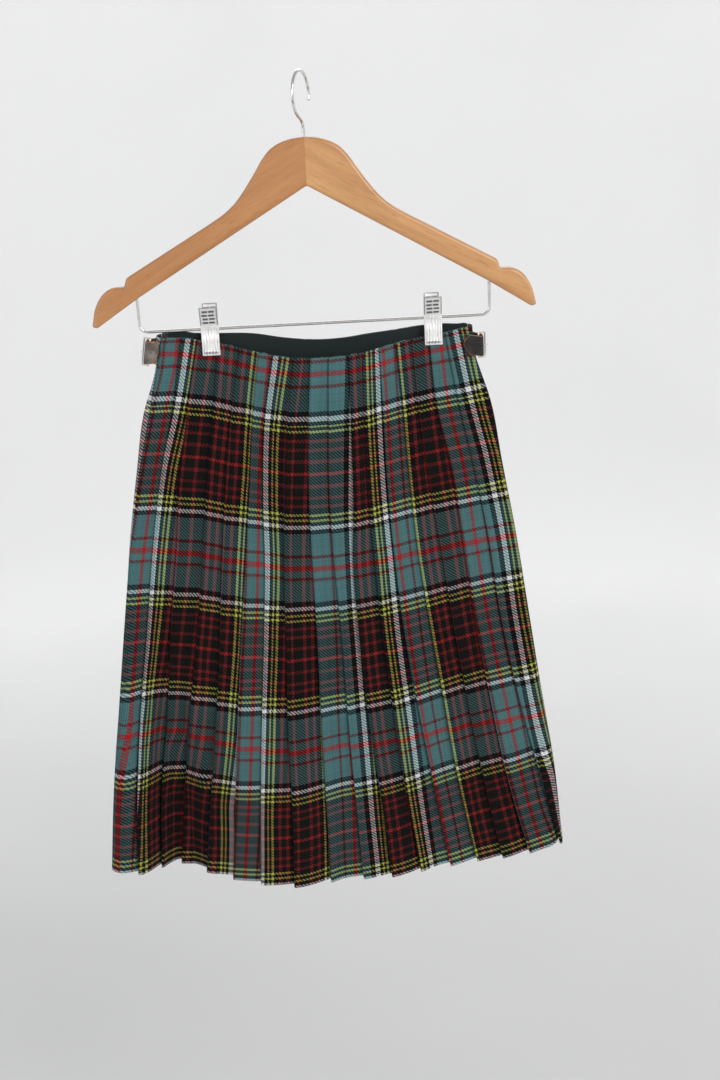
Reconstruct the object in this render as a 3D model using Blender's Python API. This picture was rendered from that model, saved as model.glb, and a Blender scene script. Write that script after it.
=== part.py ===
# A pleated wrap skirt hanging from a clip hanger.
#
# The skirt's pieces are a knife-pleated panel, two plain aprons, a waist lining band, and at each hip a leather
# tab, a buckle and a strap. The hanger is a wooden bow with a wire hook, a wire bar and two spring clips.
#
# Frame: +Z up, X along the hanger, and the pleated side looks along -Y. The origin is the inner top of the
# hook's bend. Sizes below are millimetres.

import math

import bpy
import numpy as np

MM = 0.001

# Cloth
WALL = 1.0
LAYER = 1.36  # from the middle of one cloth layer to the next where they lie flat
SEAM_GAP = 0.3
LENGTH = 592.0  # waist edge to hem, along the cloth
LINING_DEPTH = 60.0
PLEAT_STEP = {"waist": 4.6, "hem": 9.0}  # how far a fold stands out from the innermost layer
UNDERLAY = 0.62  # share of a pleat's face that its neighbour's hidden fold lies behind
FOLD_RUN = 1.2  # how far a fold's round end reaches along the cloth
FOLD_OPEN = {"waist": LAYER, "hem": 1.9}  # between the two walls that meet in a fold
HEM_LIFT = 2.5  # the hidden end of each face hangs this much higher at the hem
# Where the points of the last face lie along it; it turns the skirt's right corner
LAST_FACE = {
    "waist": (0.35, 0.6, 0.7, 0.76, 0.82, 0.88, 0.94, 1.0),
    "hem": (0.12, 0.24, 0.37, 0.5, 0.62, 0.74, 0.88, 1.0),
}

# Shares of the cloth's length, waist to hem, at which the folds are measured
STATIONS = {
    "waist": 0.0, "yoke": 0.12, "hip": 0.24, "seat": 0.38,
    "thigh": 0.51, "knee": 0.68, "calf": 0.83, "hem": 1.0,
}
CLOTH_ROWS = (0.0, 0.05, 0.085, 0.13, 0.24, 0.38, 0.51, 0.64, 0.76, 0.88, 1.0)
LINING_ROWS = (0.0, 0.5, 1.0)
APRON_CORNER = (1.0, 2.0, 3.2, 5.0, 8.0, 14.0, 24.0)  # distances from a side seam
APRON_COLUMNS = 11

# Each pleat's outer fold, left to right: its X at each station
FOLD_COLUMNS = tuple(STATIONS)
FOLDS = (
    (-152, -169, -187, -205, -218, -233, -246, -258),
    (-133, -147, -165, -181, -193, -209, -219, -227),
    (-116, -132, -146, -157, -169, -182, -195, -203),
    (-96, -107, -119, -130, -141, -158, -171, -184),
    (-75, -89, -100, -110, -118, -130, -142, -156),
    (-57, -68, -76, -86, -96, -107, -116, -126),
    (-44, -57, -63, -66, -72, -81, -88, -95),
    (-21, -33, -40, -46, -49, -53, -54, -58),
    (-5, -11, -15, -16, -16, -17, -17, -17),
    (13, 9, 6, 7, 10, 12, 15, 19),
    (33, 32, 30.5, 26.5, 28.5, 34, 43, 51),
    (47, 45, 45, 49, 53, 62, 71, 84),
    (64, 65, 66, 70, 76, 89, 102, 117),
    (80, 85, 89, 95, 104, 117, 129, 147),
    (97, 101, 108, 119, 128, 142, 156, 175),
    (114, 119, 132, 142, 151, 166, 181, 205),
    (130, 141, 155, 169, 178, 196, 216, 241),
)

# The waist edge: X, height of the pleated side, height of the apron side
WAIST_COLUMNS = ("x", "near_z", "far_z")
WAIST_EDGE = (
    (-158, -246.2, -244.6),
    (-153, -245.2, -242.2),
    (-114, -249, -243.5),
    (-95, -253, -244.5),
    (-62, -262.5, -246.5),
    (-30, -268.5, -252.5),
    (3, -270.5, -256),
    (34, -269.5, -255),
    (50, -268, -253),
    (78, -262.5, -250.3),
    (107, -257, -247.2),
    (129, -254, -246.6),
    (142, -252.5, -247.5),
    (153.5, -250.8, -248.2),
    (158, -252.8, -251.4),
)

# The skirt's two side edges, X at each share of the length
SIDES = {
    "share": (0.0, 0.05, 0.085, 0.12, 0.24, 0.38, 0.51, 0.68, 0.83, 1.0),
    "left": (-158, -160.5, -167, -175, -191, -207, -219, -235, -248, -261),
    "right": (158, 160.2, 166.2, 173, 185, 199, 210, 224, 236.5, 244),
}

# The section through the skirt: how far each wall stands from the plane of the hanger, waist and hem
NEAR_DEPTH = {"waist": 1.4, "hem": 14.5}
FAR_DEPTH = {"waist": 3.0, "hem": 15.0}
SECTION_SHIFT = 2.5  # at the hem the whole section has moved back this far
CORNER = {"waist": 2.4, "hem": 13.0}  # how far a side edge's rounding reaches along X
EDGE_INSET = {"waist": 2.0, "hem": 7.0}

# Soft bulges (+) and hollows (-) of the pleated side: X of the middle, half width, depth, first and last share
# of the length where it is full, and over what share it fades in and out
SWELL_COLUMNS = ("x", "half", "out", "first", "last", "fade")
SWELLS = (
    (3.0, 62.0, 13.0, 0.0, 0.16, 0.4),
    (-242.0, 31.0, 21.0, 0.92, 1.0, 0.5),
    (-178.0, 25.0, -15.0, 0.92, 1.0, 0.5),
    (-72.0, 54.0, 13.0, 0.85, 1.0, 0.5),
    (122.0, 50.0, -6.0, 0.85, 1.0, 0.5),
)

# Hanger
HANGER_X = 0.8
WOOD_THICK = 12.0
WOOD_ROUND = 2.6
WOOD_HALF = (  # half outline from the top middle to the tip and back under: distance from the middle, height
    (0, -59), (12, -60.2), (22, -62.9), (33, -69), (41.5, -78.2), (49, -89.5), (57, -101), (65, -111.7),
    (73, -120.5), (82, -127.8), (94, -135.3), (182.5, -184.7), (185.2, -193.6), (190.5, -193.2), (198, -194),
    (206.5, -198.8), (214.5, -210), (220.5, -231), (215.5, -232.5), (172, -204.5), (0, -104.8),
)
HOOK_WIRE = 1.6
HOOK_LOOP = 22.0
HOOK_TURN = math.radians(19.5)  # the hook's own plane, turned from the Y axis
HOOK_ROOT = -80.0
BORE_GAP = 0.3
BAR_WIRE = 1.5
BAR_HALF = 174.0
BAR_Z = -239.1
BAR_CORNER = 8.0
BAR_TOP = -193.0

# Spring clips
CLIPS = {"left": {"x": -103.5, "top": -215.5}, "right": {"x": 118.0, "top": -216.5}}
CLIP_WIDE = 17.0
CLIP_TALL = 49.0
CLIP_SHEET = 1.0
CLIP_ROWS = (  # below the top, out from the bar
    (0.0, 12.5), (7.0, 11.4), (14.0, 8.6), (19.0, 6.6), (25.5, 6.6), (27.3, 6.6),
)
SPRING = {"inner": 1.9, "outer": 3.4, "long": 9.0}

# Leather and buckles
LEATHER = 1.8
STRAP_GAP = 0.3  # between leather and what it lies on
HIPS = {  # the strap's middle where it goes round the side edge, and how far its point reaches back from there
    "right": {"edge": 167.1, "side": 1.0, "z": -269.6, "lean": -0.18, "splay": 0.0,
              "reach": 19.4, "point": 6.2, "half": 10.2},
    "left": {"edge": -169.7, "side": -1.0, "z": -258.5, "lean": 0.05, "splay": 0.18,
             "reach": 14.0, "point": 4.2, "half": 11.2},
}
TIP_HALF = 2.2
TAB = {"short": 1.6, "top": 10.0, "bottom": -13.0, "loop_top": 8.6, "loop_bottom": -10.2, "wrap": 2.2}
STRAP = {"reach": 31.0, "half": 12.6, "turn": 4.0}
BUCKLE = {"wire": 1.0, "over": 2.3, "out": 3.2, "long": 9.5}
PRONG = {"wire": 0.7, "path": ((1.9, 3.0), (2.4, 5.0), (4.9, 8.2), (5.1, 10.2))}  # out from the edge, behind the hinge


def clear_scene():
    for thing in list(bpy.data.objects):
        bpy.data.objects.remove(thing, do_unlink=True)


def new_material(name, colour, roughness, metallic=0.0):
    made = bpy.data.materials.new(name)
    made.use_nodes = True
    shader = made.node_tree.nodes["Principled BSDF"]
    shader.inputs["Base Color"].default_value = (*colour, 1.0)
    shader.inputs["Roughness"].default_value = roughness
    shader.inputs["Metallic"].default_value = metallic
    return made


def add_object(name, points, faces, finish, smooth_angle=40.0):
    """One named object from points in millimetres."""
    mesh = bpy.data.meshes.new(name)
    mesh.from_pydata((np.asarray(points, float) * MM).tolist(), [], faces)
    mesh.materials.append(finish)
    mesh.shade_smooth()
    mesh.set_sharp_from_angle(angle=math.radians(smooth_angle))
    made = bpy.data.objects.new(name, mesh)
    bpy.context.scene.collection.objects.link(made)
    return made


def ease(value, low, high):
    """0 below low, 1 above high, and a smooth rise between."""
    share = np.clip((np.asarray(value, float) - low) / (high - low), 0.0, 1.0)
    return share * share * (3.0 - 2.0 * share)


def between(pair, share):
    """A size that goes from its waist value to its hem value."""
    return pair["waist"] + (pair["hem"] - pair["waist"]) * share


def curve_through(xs, ys, x):
    """A smooth curve through the points (xs, ys), read at x."""
    xs = np.asarray(xs, float)
    ys = np.asarray(ys, float)
    slopes = np.gradient(ys, xs)
    x = np.clip(np.asarray(x, float), xs[0], xs[-1])
    i = np.clip(np.searchsorted(xs, x, side="right") - 1, 0, len(xs) - 2)
    wide = xs[i + 1] - xs[i]
    t = (x - xs[i]) / wide
    start = (1 + 2 * t) * (1 - t) ** 2 * ys[i] + t * (1 - t) ** 2 * wide * slopes[i]
    return start + t * t * (3 - 2 * t) * ys[i + 1] + t * t * (t - 1) * wide * slopes[i + 1]


def opened_out(share):
    """0 at the waist and hip, where the pleats are stitched flat, 1 at the hem."""
    return float(ease(share, 0.2, 1.0)) * 0.5 + 0.5 * max(0.0, (share - 0.2) / 0.8)


def waist_height(x, column):
    table = np.array(WAIST_EDGE, float)
    return curve_through(table[:, 0], table[:, WAIST_COLUMNS.index(column)], x)


def hang(top_x, top_z, hem_x, share):
    """Height of a thread of the cloth that starts at the waist edge and runs straight to the hem."""
    return top_z - share * np.sqrt(LENGTH**2 - (hem_x - top_x) ** 2)


def fold_table(share):
    """X and height of every outer fold at this share of the length."""
    table = np.array(FOLDS, float)
    x = np.array([curve_through(list(STATIONS.values()), row, share) for row in table])
    waist_x = table[:, FOLD_COLUMNS.index("waist")]
    hem_x = table[:, FOLD_COLUMNS.index("hem")]
    return x, hang(waist_x, waist_height(waist_x, "near_z"), hem_x, share)


def side_x(name, share):
    return curve_through(SIDES["share"], SIDES[name], share)


def far_height(x, share):
    """Height of the aprons' cloth at this X."""
    part = (x - side_x("left", share)) / (side_x("right", share) - side_x("left", share))
    waist_x = side_x("left", 0.0) + (side_x("right", 0.0) - side_x("left", 0.0)) * part
    hem_x = side_x("left", 1.0) + (side_x("right", 1.0) - side_x("left", 1.0)) * part
    return hang(waist_x, waist_height(waist_x, "far_z"), hem_x, share)


def swell(x, share):
    """How far the pleated side stands out here beyond its plain section."""
    out = 0.0
    for place, half, depth, first, last, fade in SWELLS:
        across = np.clip(1.0 - np.abs(x - place) / (half * 1.35), 0.0, 1.0)
        down = ease(share, first - fade, first) * (1.0 - ease(share, last, last + fade))
        out = out + depth * ease(across, 0.0, 0.75) * down
    return out


class Section:
    """The skirt's closed outline at one share of its length, as a path that starts in the middle of the aprons
    and runs by the left edge, the pleated side and the right edge back to the aprons."""

    def __init__(self, share):
        open_share = opened_out(share)
        inset = between(EDGE_INSET, open_share)
        left = float(side_x("left", share)) + inset
        right = float(side_x("right", share)) - inset
        near = between(NEAR_DEPTH, open_share)
        far = between(FAR_DEPTH, open_share)
        run = between(CORNER, open_share)
        shift = SECTION_SHIFT * open_share
        angle = np.linspace(0.0, math.pi / 2, 61)
        middle = (left + right) / 2
        far_half = np.linspace(0.0, 1.0, 200)[:-1]
        near_half = np.linspace(0.0, 1.0, 401)[1:-1]
        x = [
            middle + (left + run - middle) * far_half,
            left + run * (1 - np.sin(angle)),
            (left + run * (1 - np.sin(angle)))[::-1][1:],
            left + run + (right - left - 2 * run) * near_half,
            right - run * (1 - np.sin(angle)),
            (right - run * (1 - np.sin(angle)))[::-1][1:],
            (middle + (right - run - middle) * far_half)[::-1],
        ]
        round_off = np.cos(angle)
        depth = [
            far + 0 * far_half,
            far * round_off,
            -near * round_off[::-1][1:],
            -near + 0 * near_half,
            -near * round_off,
            far * round_off[::-1][1:],
            far + 0 * far_half,
        ]
        x = np.concatenate(x)
        y = np.concatenate(depth) + shift
        y = y - swell(x, share) * ease((shift - y) / near, 0.0, 1.0)
        self.points = np.stack([x, y], axis=1)
        steps = np.linalg.norm(np.diff(self.points, axis=0), axis=1)
        self.along = np.concatenate([[0.0], np.cumsum(steps)])
        self.total = self.along[-1]
        self.left_at = float(self.along[np.argmin(x)])
        self.right_at = float(self.along[np.argmax(x)])

    def place(self, along, out):
        """Points at these distances along the path, moved out of the skirt by out."""
        along = np.asarray(along, float)
        half_step = 0.6
        ends = [self._read(along - half_step), self._read(along + half_step)]
        run = ends[1] - ends[0]
        run /= np.linalg.norm(run, axis=1)[:, None]
        outward = np.stack([run[:, 1], -run[:, 0]], axis=1)
        return self._read(along) + outward * np.asarray(out, float)[:, None]

    def _read(self, along):
        along = np.mod(along, self.total)
        x = np.interp(along, self.along, self.points[:, 0])
        y = np.interp(along, self.along, self.points[:, 1])
        return np.stack([x, y], axis=1)

    def along_at(self, x, out):
        """Where on the pleated side a point that stands out by out has this X."""
        run = np.linspace(self.left_at, self.right_at, 1200)
        return np.interp(x, self.place(run, np.full(len(run), out))[:, 0], run)


def seam_shift(share):
    """How far behind the side edge the seam between the pleats and an apron lies."""
    return 5.0 + 9.0 * opened_out(share)


def pleat_row(share):
    """The pleated panel's middle line at this share of the length: X, Y and height of each point."""
    section = Section(share)
    open_share = opened_out(share)
    step = between(PLEAT_STEP, open_share)
    gap = between(FOLD_OPEN, open_share)
    under = min(step - 2 * LAYER, 0.42 * step)
    lift = HEM_LIFT * open_share
    fold_x, fold_z = fold_table(share)
    folds = section.along_at(fold_x, step)
    start = section.left_at - seam_shift(share) + SEAM_GAP / 2
    end = section.right_at + seam_shift(share) - SEAM_GAP / 2
    ends = np.append(folds, end)
    last_parts = np.array(LAST_FACE["waist"]) * (1 - open_share) + np.array(LAST_FACE["hem"]) * open_share
    rows = [(start + (folds[0] - start) * part, LAYER + (under - LAYER) * part, lift * part)
            for part in (0.0, 0.1, 0.2, 0.3, 0.42, 0.58, 0.78)]
    for i, fold in enumerate(folds):
        wide = min(ends[i + 1] - fold, 34.0)
        inner = fold + UNDERLAY * wide
        rows += [
            (fold, under, lift),
            (inner - FOLD_RUN, 0.0, lift),
            (inner, gap / 2, lift),
            (inner - FOLD_RUN, gap, lift),
            (fold + FOLD_RUN, step - gap, 0.0),
            (fold, step - gap / 2, 0.0),
            (fold + FOLD_RUN, step, 0.0),
        ]
        last = i == len(folds) - 1
        low = 0.0 if last else under
        parts = last_parts if last else (0.5,)
        rows += [(fold + (ends[i + 1] - fold) * part, step - (step - low) * part, lift * part * (not last))
                 for part in parts]
    along, out, raised = np.array(rows).T
    points = section.place(along, out)
    knots_along = np.concatenate([[start], folds, [end]])
    sides = section.place(knots_along[[0, -1]], np.zeros(2))
    side_z = far_height(sides[:, 0], share)
    knots_z = np.concatenate([side_z[:1], fold_z, side_z[1:]])
    return np.column_stack([points, np.interp(along, knots_along, knots_z) + raised])


def apron_row(share, out, right_edge, left_edge):
    """A plain panel of the far side, from the right side edge to the left one. All the layers of that side share
    one set of places along it, so that none cuts a corner through its neighbour."""
    section = Section(share)
    right_seam = section.right_at + seam_shift(share)
    left_seam = section.total + section.left_at - seam_shift(share)
    corner = np.array(APRON_CORNER)
    middle = np.linspace(right_seam + corner[-1], left_seam - corner[-1], APRON_COLUMNS)[1:-1]
    along = np.concatenate([right_seam + corner, middle, left_seam - corner[::-1]])
    start = right_seam + right_edge
    end = left_seam - left_edge
    inside = along[(along > start + 0.4) & (along < end - 0.4)]
    along = np.concatenate([[start], inside, [end]])
    points = section.place(along, np.full(len(along), out))
    return np.column_stack([points, far_height(points[:, 0], share)])


def two_faces(row, thick):
    """The two faces of a wall whose middle line is this row."""
    line = row[:, :2]
    run = np.diff(line, axis=0)
    run /= np.linalg.norm(run, axis=1)[:, None]
    normal = np.stack([run[:, 1], -run[:, 0]], axis=1)
    normal = np.concatenate([normal[:1], normal, normal[-1:]])
    corner = normal[:-1] + normal[1:]
    corner /= np.linalg.norm(corner, axis=1)[:, None]
    mitre = 1.0 / np.clip(np.sum(corner * normal[1:], axis=1), 0.5, 1.0)
    move = corner * (mitre * thick / 2)[:, None]
    flat = np.column_stack([move, np.zeros(len(move))])
    return row + flat, row - flat


def wall(name, rows, thick, finish):
    """A closed cloth or leather wall from its middle lines, one for each row."""
    faces = [two_faces(row, thick) for row in rows]
    front = np.array([pair[0] for pair in faces])
    back = np.array([pair[1] for pair in faces])
    return shell(name, front, back, finish)


def shell(name, front, back, finish):
    """A closed solid from two grids of points that share their edges' order."""
    rows, columns = front.shape[:2]
    points = np.concatenate([front.reshape(-1, 3), back.reshape(-1, 3)])
    half = rows * columns

    def at(i, j, side):
        return side * half + i * columns + j

    quads = []
    for i in range(rows - 1):
        for j in range(columns - 1):
            quads.append((at(i, j, 0), at(i + 1, j, 0), at(i + 1, j + 1, 0), at(i, j + 1, 0)))
            quads.append((at(i, j, 1), at(i, j + 1, 1), at(i + 1, j + 1, 1), at(i + 1, j, 1)))
    for i in range(rows - 1):
        quads.append((at(i, 0, 0), at(i, 0, 1), at(i + 1, 0, 1), at(i + 1, 0, 0)))
        last = columns - 1
        quads.append((at(i, last, 0), at(i + 1, last, 0), at(i + 1, last, 1), at(i, last, 1)))
    for j in range(columns - 1):
        quads.append((at(0, j, 0), at(0, j + 1, 0), at(0, j + 1, 1), at(0, j, 1)))
        last = rows - 1
        quads.append((at(last, j, 0), at(last, j, 1), at(last, j + 1, 1), at(last, j + 1, 0)))
    return add_object(name, points, quads, finish)


def tube(name, path, radius, sides, finish, closed=False):
    """A round wire along a path."""
    path = np.asarray(path, float)
    if closed:
        run = np.roll(path, -1, axis=0) - np.roll(path, 1, axis=0)
    else:
        run = np.gradient(path, axis=0)
    run /= np.linalg.norm(run, axis=1)[:, None]
    seed = np.array([0.0, 0.0, 1.0]) if abs(run[0][2]) < 0.9 else np.array([1.0, 0.0, 0.0])
    points = []
    for place, way in zip(path, run):
        first = seed - way * np.dot(seed, way)
        first /= np.linalg.norm(first)
        second = np.cross(way, first)
        seed = first
        for k in range(sides):
            angle = 2 * math.pi * k / sides
            points.append(place + radius * (math.cos(angle) * first + math.sin(angle) * second))
    count = len(path)
    quads = []
    for i in range(count if closed else count - 1):
        following = (i + 1) % count
        for k in range(sides):
            side = (k + 1) % sides
            quads.append((i * sides + k, i * sides + side, following * sides + side, following * sides + k))
    if not closed:
        quads.append(tuple(range(sides))[::-1])
        quads.append(tuple((count - 1) * sides + k for k in range(sides)))
    return add_object(name, points, quads, finish)


def arc(centre, radius, start, end, steps):
    """Points on an arc in a plane, its angles in degrees."""
    angles = np.radians(np.linspace(start, end, steps))
    return np.column_stack([centre[0] + radius * np.cos(angles), centre[1] + radius * np.sin(angles)])


def inset_outline(outline, by):
    """A closed outline that runs clockwise, moved inwards."""
    before = outline - np.roll(outline, 1, axis=0)
    after = np.roll(outline, -1, axis=0) - outline
    before /= np.linalg.norm(before, axis=1)[:, None]
    after /= np.linalg.norm(after, axis=1)[:, None]
    first = np.stack([before[:, 1], -before[:, 0]], axis=1)
    second = np.stack([after[:, 1], -after[:, 0]], axis=1)
    corner = first + second
    corner /= np.linalg.norm(corner, axis=1)[:, None]
    return outline + corner * (by / np.clip(np.sum(corner * second, axis=1), 0.7, 1.0))[:, None]


def bore(name, place, radius, low, high):
    """A cutter for a drilled hole that runs along Z."""
    bpy.ops.mesh.primitive_cylinder_add(
        vertices=16, radius=radius * MM, depth=(high - low) * MM,
        location=(place * MM, 0.0, (low + high) / 2 * MM),
    )
    made = bpy.context.object
    made.name = name
    made.hide_render = True
    made.display_type = "WIRE"
    return made


def hanger_wood(finish):
    right = np.array(WOOD_HALF, float)
    left = right[1:-1][::-1] * (-1.0, 1.0)
    outline = np.concatenate([right, left]) + (HANGER_X, 0.0)
    small = inset_outline(outline, WOOD_ROUND)
    half = WOOD_THICK / 2
    levels = ((-half, small), (-half + WOOD_ROUND, outline), (half - WOOD_ROUND, outline), (half, small))
    rings = [np.column_stack([ring[:, 0], np.full(len(ring), y), ring[:, 1]]) for y, ring in levels]
    points = np.concatenate(rings)
    count = len(outline)
    quads = []
    for level in range(3):
        for i in range(count):
            j = (i + 1) % count
            quads.append((level * count + i, level * count + j, (level + 1) * count + j, (level + 1) * count + i))
    quads.append(tuple(range(count))[::-1])
    quads.append(tuple(3 * count + i for i in range(count)))
    wood = add_object("hanger_wood", points, quads, finish)
    holes = [bore("hook_bore", HANGER_X, HOOK_WIRE + BORE_GAP, HOOK_ROOT - BORE_GAP, -45.0)]
    for side in (-1, 1):
        place = HANGER_X + side * BAR_HALF
        holes.append(bore(f"bar_bore_{side}", place, BAR_WIRE + BORE_GAP, -225.0, BAR_TOP + BORE_GAP))
    for hole in holes:
        cut = wood.modifiers.new(hole.name, "BOOLEAN")
        cut.object = hole
        cut.operation = "DIFFERENCE"


def hanger_hook(finish):
    """The hook's wire: up out of the wood, forward, over the top and down behind."""
    middle = HOOK_WIRE - HOOK_LOOP
    neck = np.array([(0.0, HOOK_ROOT), (0.0, -60.0), (0.0, -51.0), (-1.0, -46.4), (-4.6, -42.8)])
    loop = arc((0.0, middle), HOOK_LOOP, 245.0, -14.0, 24)
    flat = np.concatenate([neck, loop])
    path = np.column_stack([
        HANGER_X + flat[:, 0] * math.sin(HOOK_TURN),
        flat[:, 0] * math.cos(HOOK_TURN),
        flat[:, 1],
    ])
    path[:, 0] -= HANGER_X * np.clip((path[:, 2] + 60.0) / 40.0, 0.0, 1.0)
    tube("hanger_hook", path, HOOK_WIRE, 10, finish)


def trouser_bar(finish):
    left = HANGER_X - BAR_HALF
    right = HANGER_X + BAR_HALF
    low = BAR_Z + BAR_CORNER
    path = np.concatenate([
        [(left, BAR_TOP)],
        arc((left + BAR_CORNER, low), BAR_CORNER, 180.0, 270.0, 6),
        arc((right - BAR_CORNER, low), BAR_CORNER, 270.0, 360.0, 6),
        [(right, BAR_TOP)],
    ])
    tube("trouser_bar", np.column_stack([path[:, 0], np.zeros(len(path)), path[:, 1]]), BAR_WIRE, 10, finish)


def outermost(rows_at, x, share, side):
    """The Y of the cloth's outer face at this X: side -1 for the pleats, +1 for the aprons."""
    row = rows_at(share)
    found = []
    for face in two_faces(row, WALL):
        for (x0, y0, _), (x1, y1, _) in zip(face[:-1], face[1:]):
            if min(x0, x1) <= x <= max(x0, x1) and x0 != x1:
                found.append(y0 + (y1 - y0) * (x - x0) / (x1 - x0))
    return side * max([side * y for y in found], default=0.0)


def over_apron_row(share):
    return apron_row(share, LAYER, 2.5, SEAM_GAP / 2)


def clip(name, place, finish, spring_finish):
    """Two jaws of bent sheet that swing on the bar, with ears beside a spring."""
    x, top = place["x"], place["top"]
    bite = {
        -1: min(outermost(pleat_row, x + dx, s, -1) for dx in (-8.5, -4, 0, 4, 8.5) for s in (0.0, 0.03)),
        1: max(outermost(over_apron_row, x + dx, s, 1) for dx in (-8.5, 0, 8.5) for s in (0.0, 0.05)),
    }
    for side, jaw in ((-1, "front_jaw"), (1, "back_jaw")):
        grip = abs(bite[side]) + SEAM_GAP + CLIP_SHEET / 2 + 0.5
        profile = [(top - down, out) for down, out in CLIP_ROWS]
        profile += [(top - 33.0, grip), (top - CLIP_TALL, grip)]
        half = CLIP_WIDE / 2 if side < 0 else CLIP_WIDE / 2 - 1.4
        ear = 3.0 if side < 0 else 2.4
        ear_rows = {3: ear, 4: ear}
        solid_rows = []
        for i, (z, out) in enumerate(profile):
            reach = 0.0
            if i in ear_rows:
                reach = out - 2.2
            across = [(-half, out - reach), (-half, out), (-half * 0.5, out + 0.25), (0.0, out + 0.35),
                      (half * 0.5, out + 0.25), (half, out), (half, out - reach)]
            if not reach:
                across[0] = (-half, out - 0.4)
                across[-1] = (half, out - 0.4)
            row = np.array([(x + dx, side * dy, z) for dx, dy in across])
            solid_rows.append(row if side < 0 else row[::-1])
        wall(f"{name}_{jaw}", solid_rows, CLIP_SHEET, finish)
    half = SPRING["long"] / 2
    ring = []
    rims = ((SPRING["inner"], -half), (SPRING["outer"], -half), (SPRING["outer"], half), (SPRING["inner"], half))
    for radius, dx in rims:
        for k in range(12):
            angle = 2 * math.pi * k / 12
            ring.append((x + dx, radius * math.cos(angle), BAR_Z + radius * math.sin(angle)))
    quads = []
    for level in range(4):
        for k in range(12):
            j = (k + 1) % 12
            following = (level + 1) % 4
            quads.append((level * 12 + k, level * 12 + j, following * 12 + j, following * 12 + k))
    add_object(f"{name}_spring", ring, quads, spring_finish)


def at_hip(hip, x, y, down):
    """A point of a hip fastening, from its place seen from above and its height from the strap's middle."""
    x, y, down = np.broadcast_arrays(np.asarray(x, float), np.asarray(y, float), np.asarray(down, float))
    return np.column_stack([x + hip["splay"] * down, y, hip["z"] + down + hip["lean"] * (x - hip["edge"])])


def leather_strip(name, path, tops, bottoms, hip, finish):
    """A strip that stands on edge: its path seen from above, and its two edges' heights at each point."""
    path = np.asarray(path, float)
    order = slice(None) if hip["side"] > 0 else slice(None, None, -1)
    rows = [at_hip(hip, path[:, 0], path[:, 1], edge)[order] for edge in (tops, bottoms)]
    wall(name, rows, LEATHER, finish)


def hip_fastening(name, hip, leather, metal):
    """A tab sewn to the pleats holds the buckle. The strap comes from the apron round the side edge, passes
    inside the buckle's outer bar and over its hinge bar, and its pointed end lies on the tab."""
    side, edge = hip["side"], hip["edge"]
    share = (waist_height(edge, "near_z") - hip["z"]) / LENGTH
    tip = edge - side * hip["reach"]
    lies_on = min(outermost(pleat_row, tip + side * dx, share + down, -1)
                  for dx in np.arange(0.0, hip["reach"], 1.0) for down in (-0.02, 0.0, 0.02))
    tab_y = lies_on - STRAP_GAP - LEATHER / 2
    hinge_y = tab_y + TAB["wrap"]
    outer_wrap = TAB["wrap"] + LEATHER + STRAP_GAP
    hinge_x = edge - side * outer_wrap
    round_bar = arc((0.0, 0.0), 1.0, -90.0, 75.0, 6)
    tab_path = [(tip + side * TAB["short"], tab_y), (hinge_x - side * 3.0, tab_y)]
    tab_path += [(hinge_x + side * TAB["wrap"] * dx, hinge_y + TAB["wrap"] * dy) for dx, dy in round_bar]
    tops = [TAB["top"]] + [TAB["loop_top"]] * 7
    bottoms = [TAB["bottom"]] + [TAB["loop_bottom"]] * 7
    leather_strip(f"{name}_tab", tab_path, tops, bottoms, hip, leather)

    far_x = edge - side * STRAP["reach"]
    lies_on = max(outermost(over_apron_row, far_x + side * dx, share + down, 1)
                  for dx in (0, 4, 8, 12, 16, 20) for down in (-0.02, 0.0, 0.02))
    apron_y = lies_on + STRAP_GAP + LEATHER / 2
    turn = STRAP["turn"]
    strap_y = tab_y - LEATHER - STRAP_GAP
    strap_path = [(tip, strap_y), (tip + side * hip["point"], strap_y)]
    strap_path += [(hinge_x + side * outer_wrap * dx, hinge_y + outer_wrap * dy)
                   for dx, dy in arc((0.0, 0.0), 1.0, -90.0, 0.0, 5)]
    strap_path += [(edge + side * turn * (dx - 1.0), apron_y + 0.6 + turn * (dy - 1.0))
                   for dx, dy in arc((0.0, 0.0), 1.0, 0.0, 80.0, 5)]
    strap_path += [(edge - side * 12.0, apron_y), (edge - side * 19.0, apron_y), (far_x, apron_y)]
    halves = np.array([TIP_HALF] + [hip["half"]] * 11 + [STRAP["half"] - 1.0] + [STRAP["half"]] * 2)
    leather_strip(f"{name}_strap", strap_path, halves, -halves, hip, leather)

    half = hip["half"] + BUCKLE["over"]
    hinge = np.array([hinge_x, hinge_y])
    across = np.array([edge + side * BUCKLE["out"], hinge_y + BUCKLE["long"]]) - hinge
    long = np.linalg.norm(across)
    ring = []
    for i, (away, height) in enumerate(((0.0, -half), (long, -half), (long, half), (0.0, half))):
        centre = (away + (1.6 if i in (0, 3) else -1.6), height + (1.6 if i < 2 else -1.6))
        ring.append(arc(centre, 1.6, 180.0 + 90.0 * i, 270.0 + 90.0 * i, 4))
    loop = np.concatenate(ring)
    ground = hinge + across * (loop[:, 0] / long)[:, None]
    frame_path = at_hip(hip, ground[:, 0], ground[:, 1], loop[:, 1])
    tube(f"{name}_buckle_frame", frame_path, BUCKLE["wire"], 8, metal, closed=True)
    prong = [(edge + side * dx, hinge_y + dy) for dx, dy in PRONG["path"]]
    prong_path = at_hip(hip, *np.array(prong).T, 0.0)
    tube(f"{name}_buckle_prong", prong_path, PRONG["wire"], 8, metal)


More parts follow.
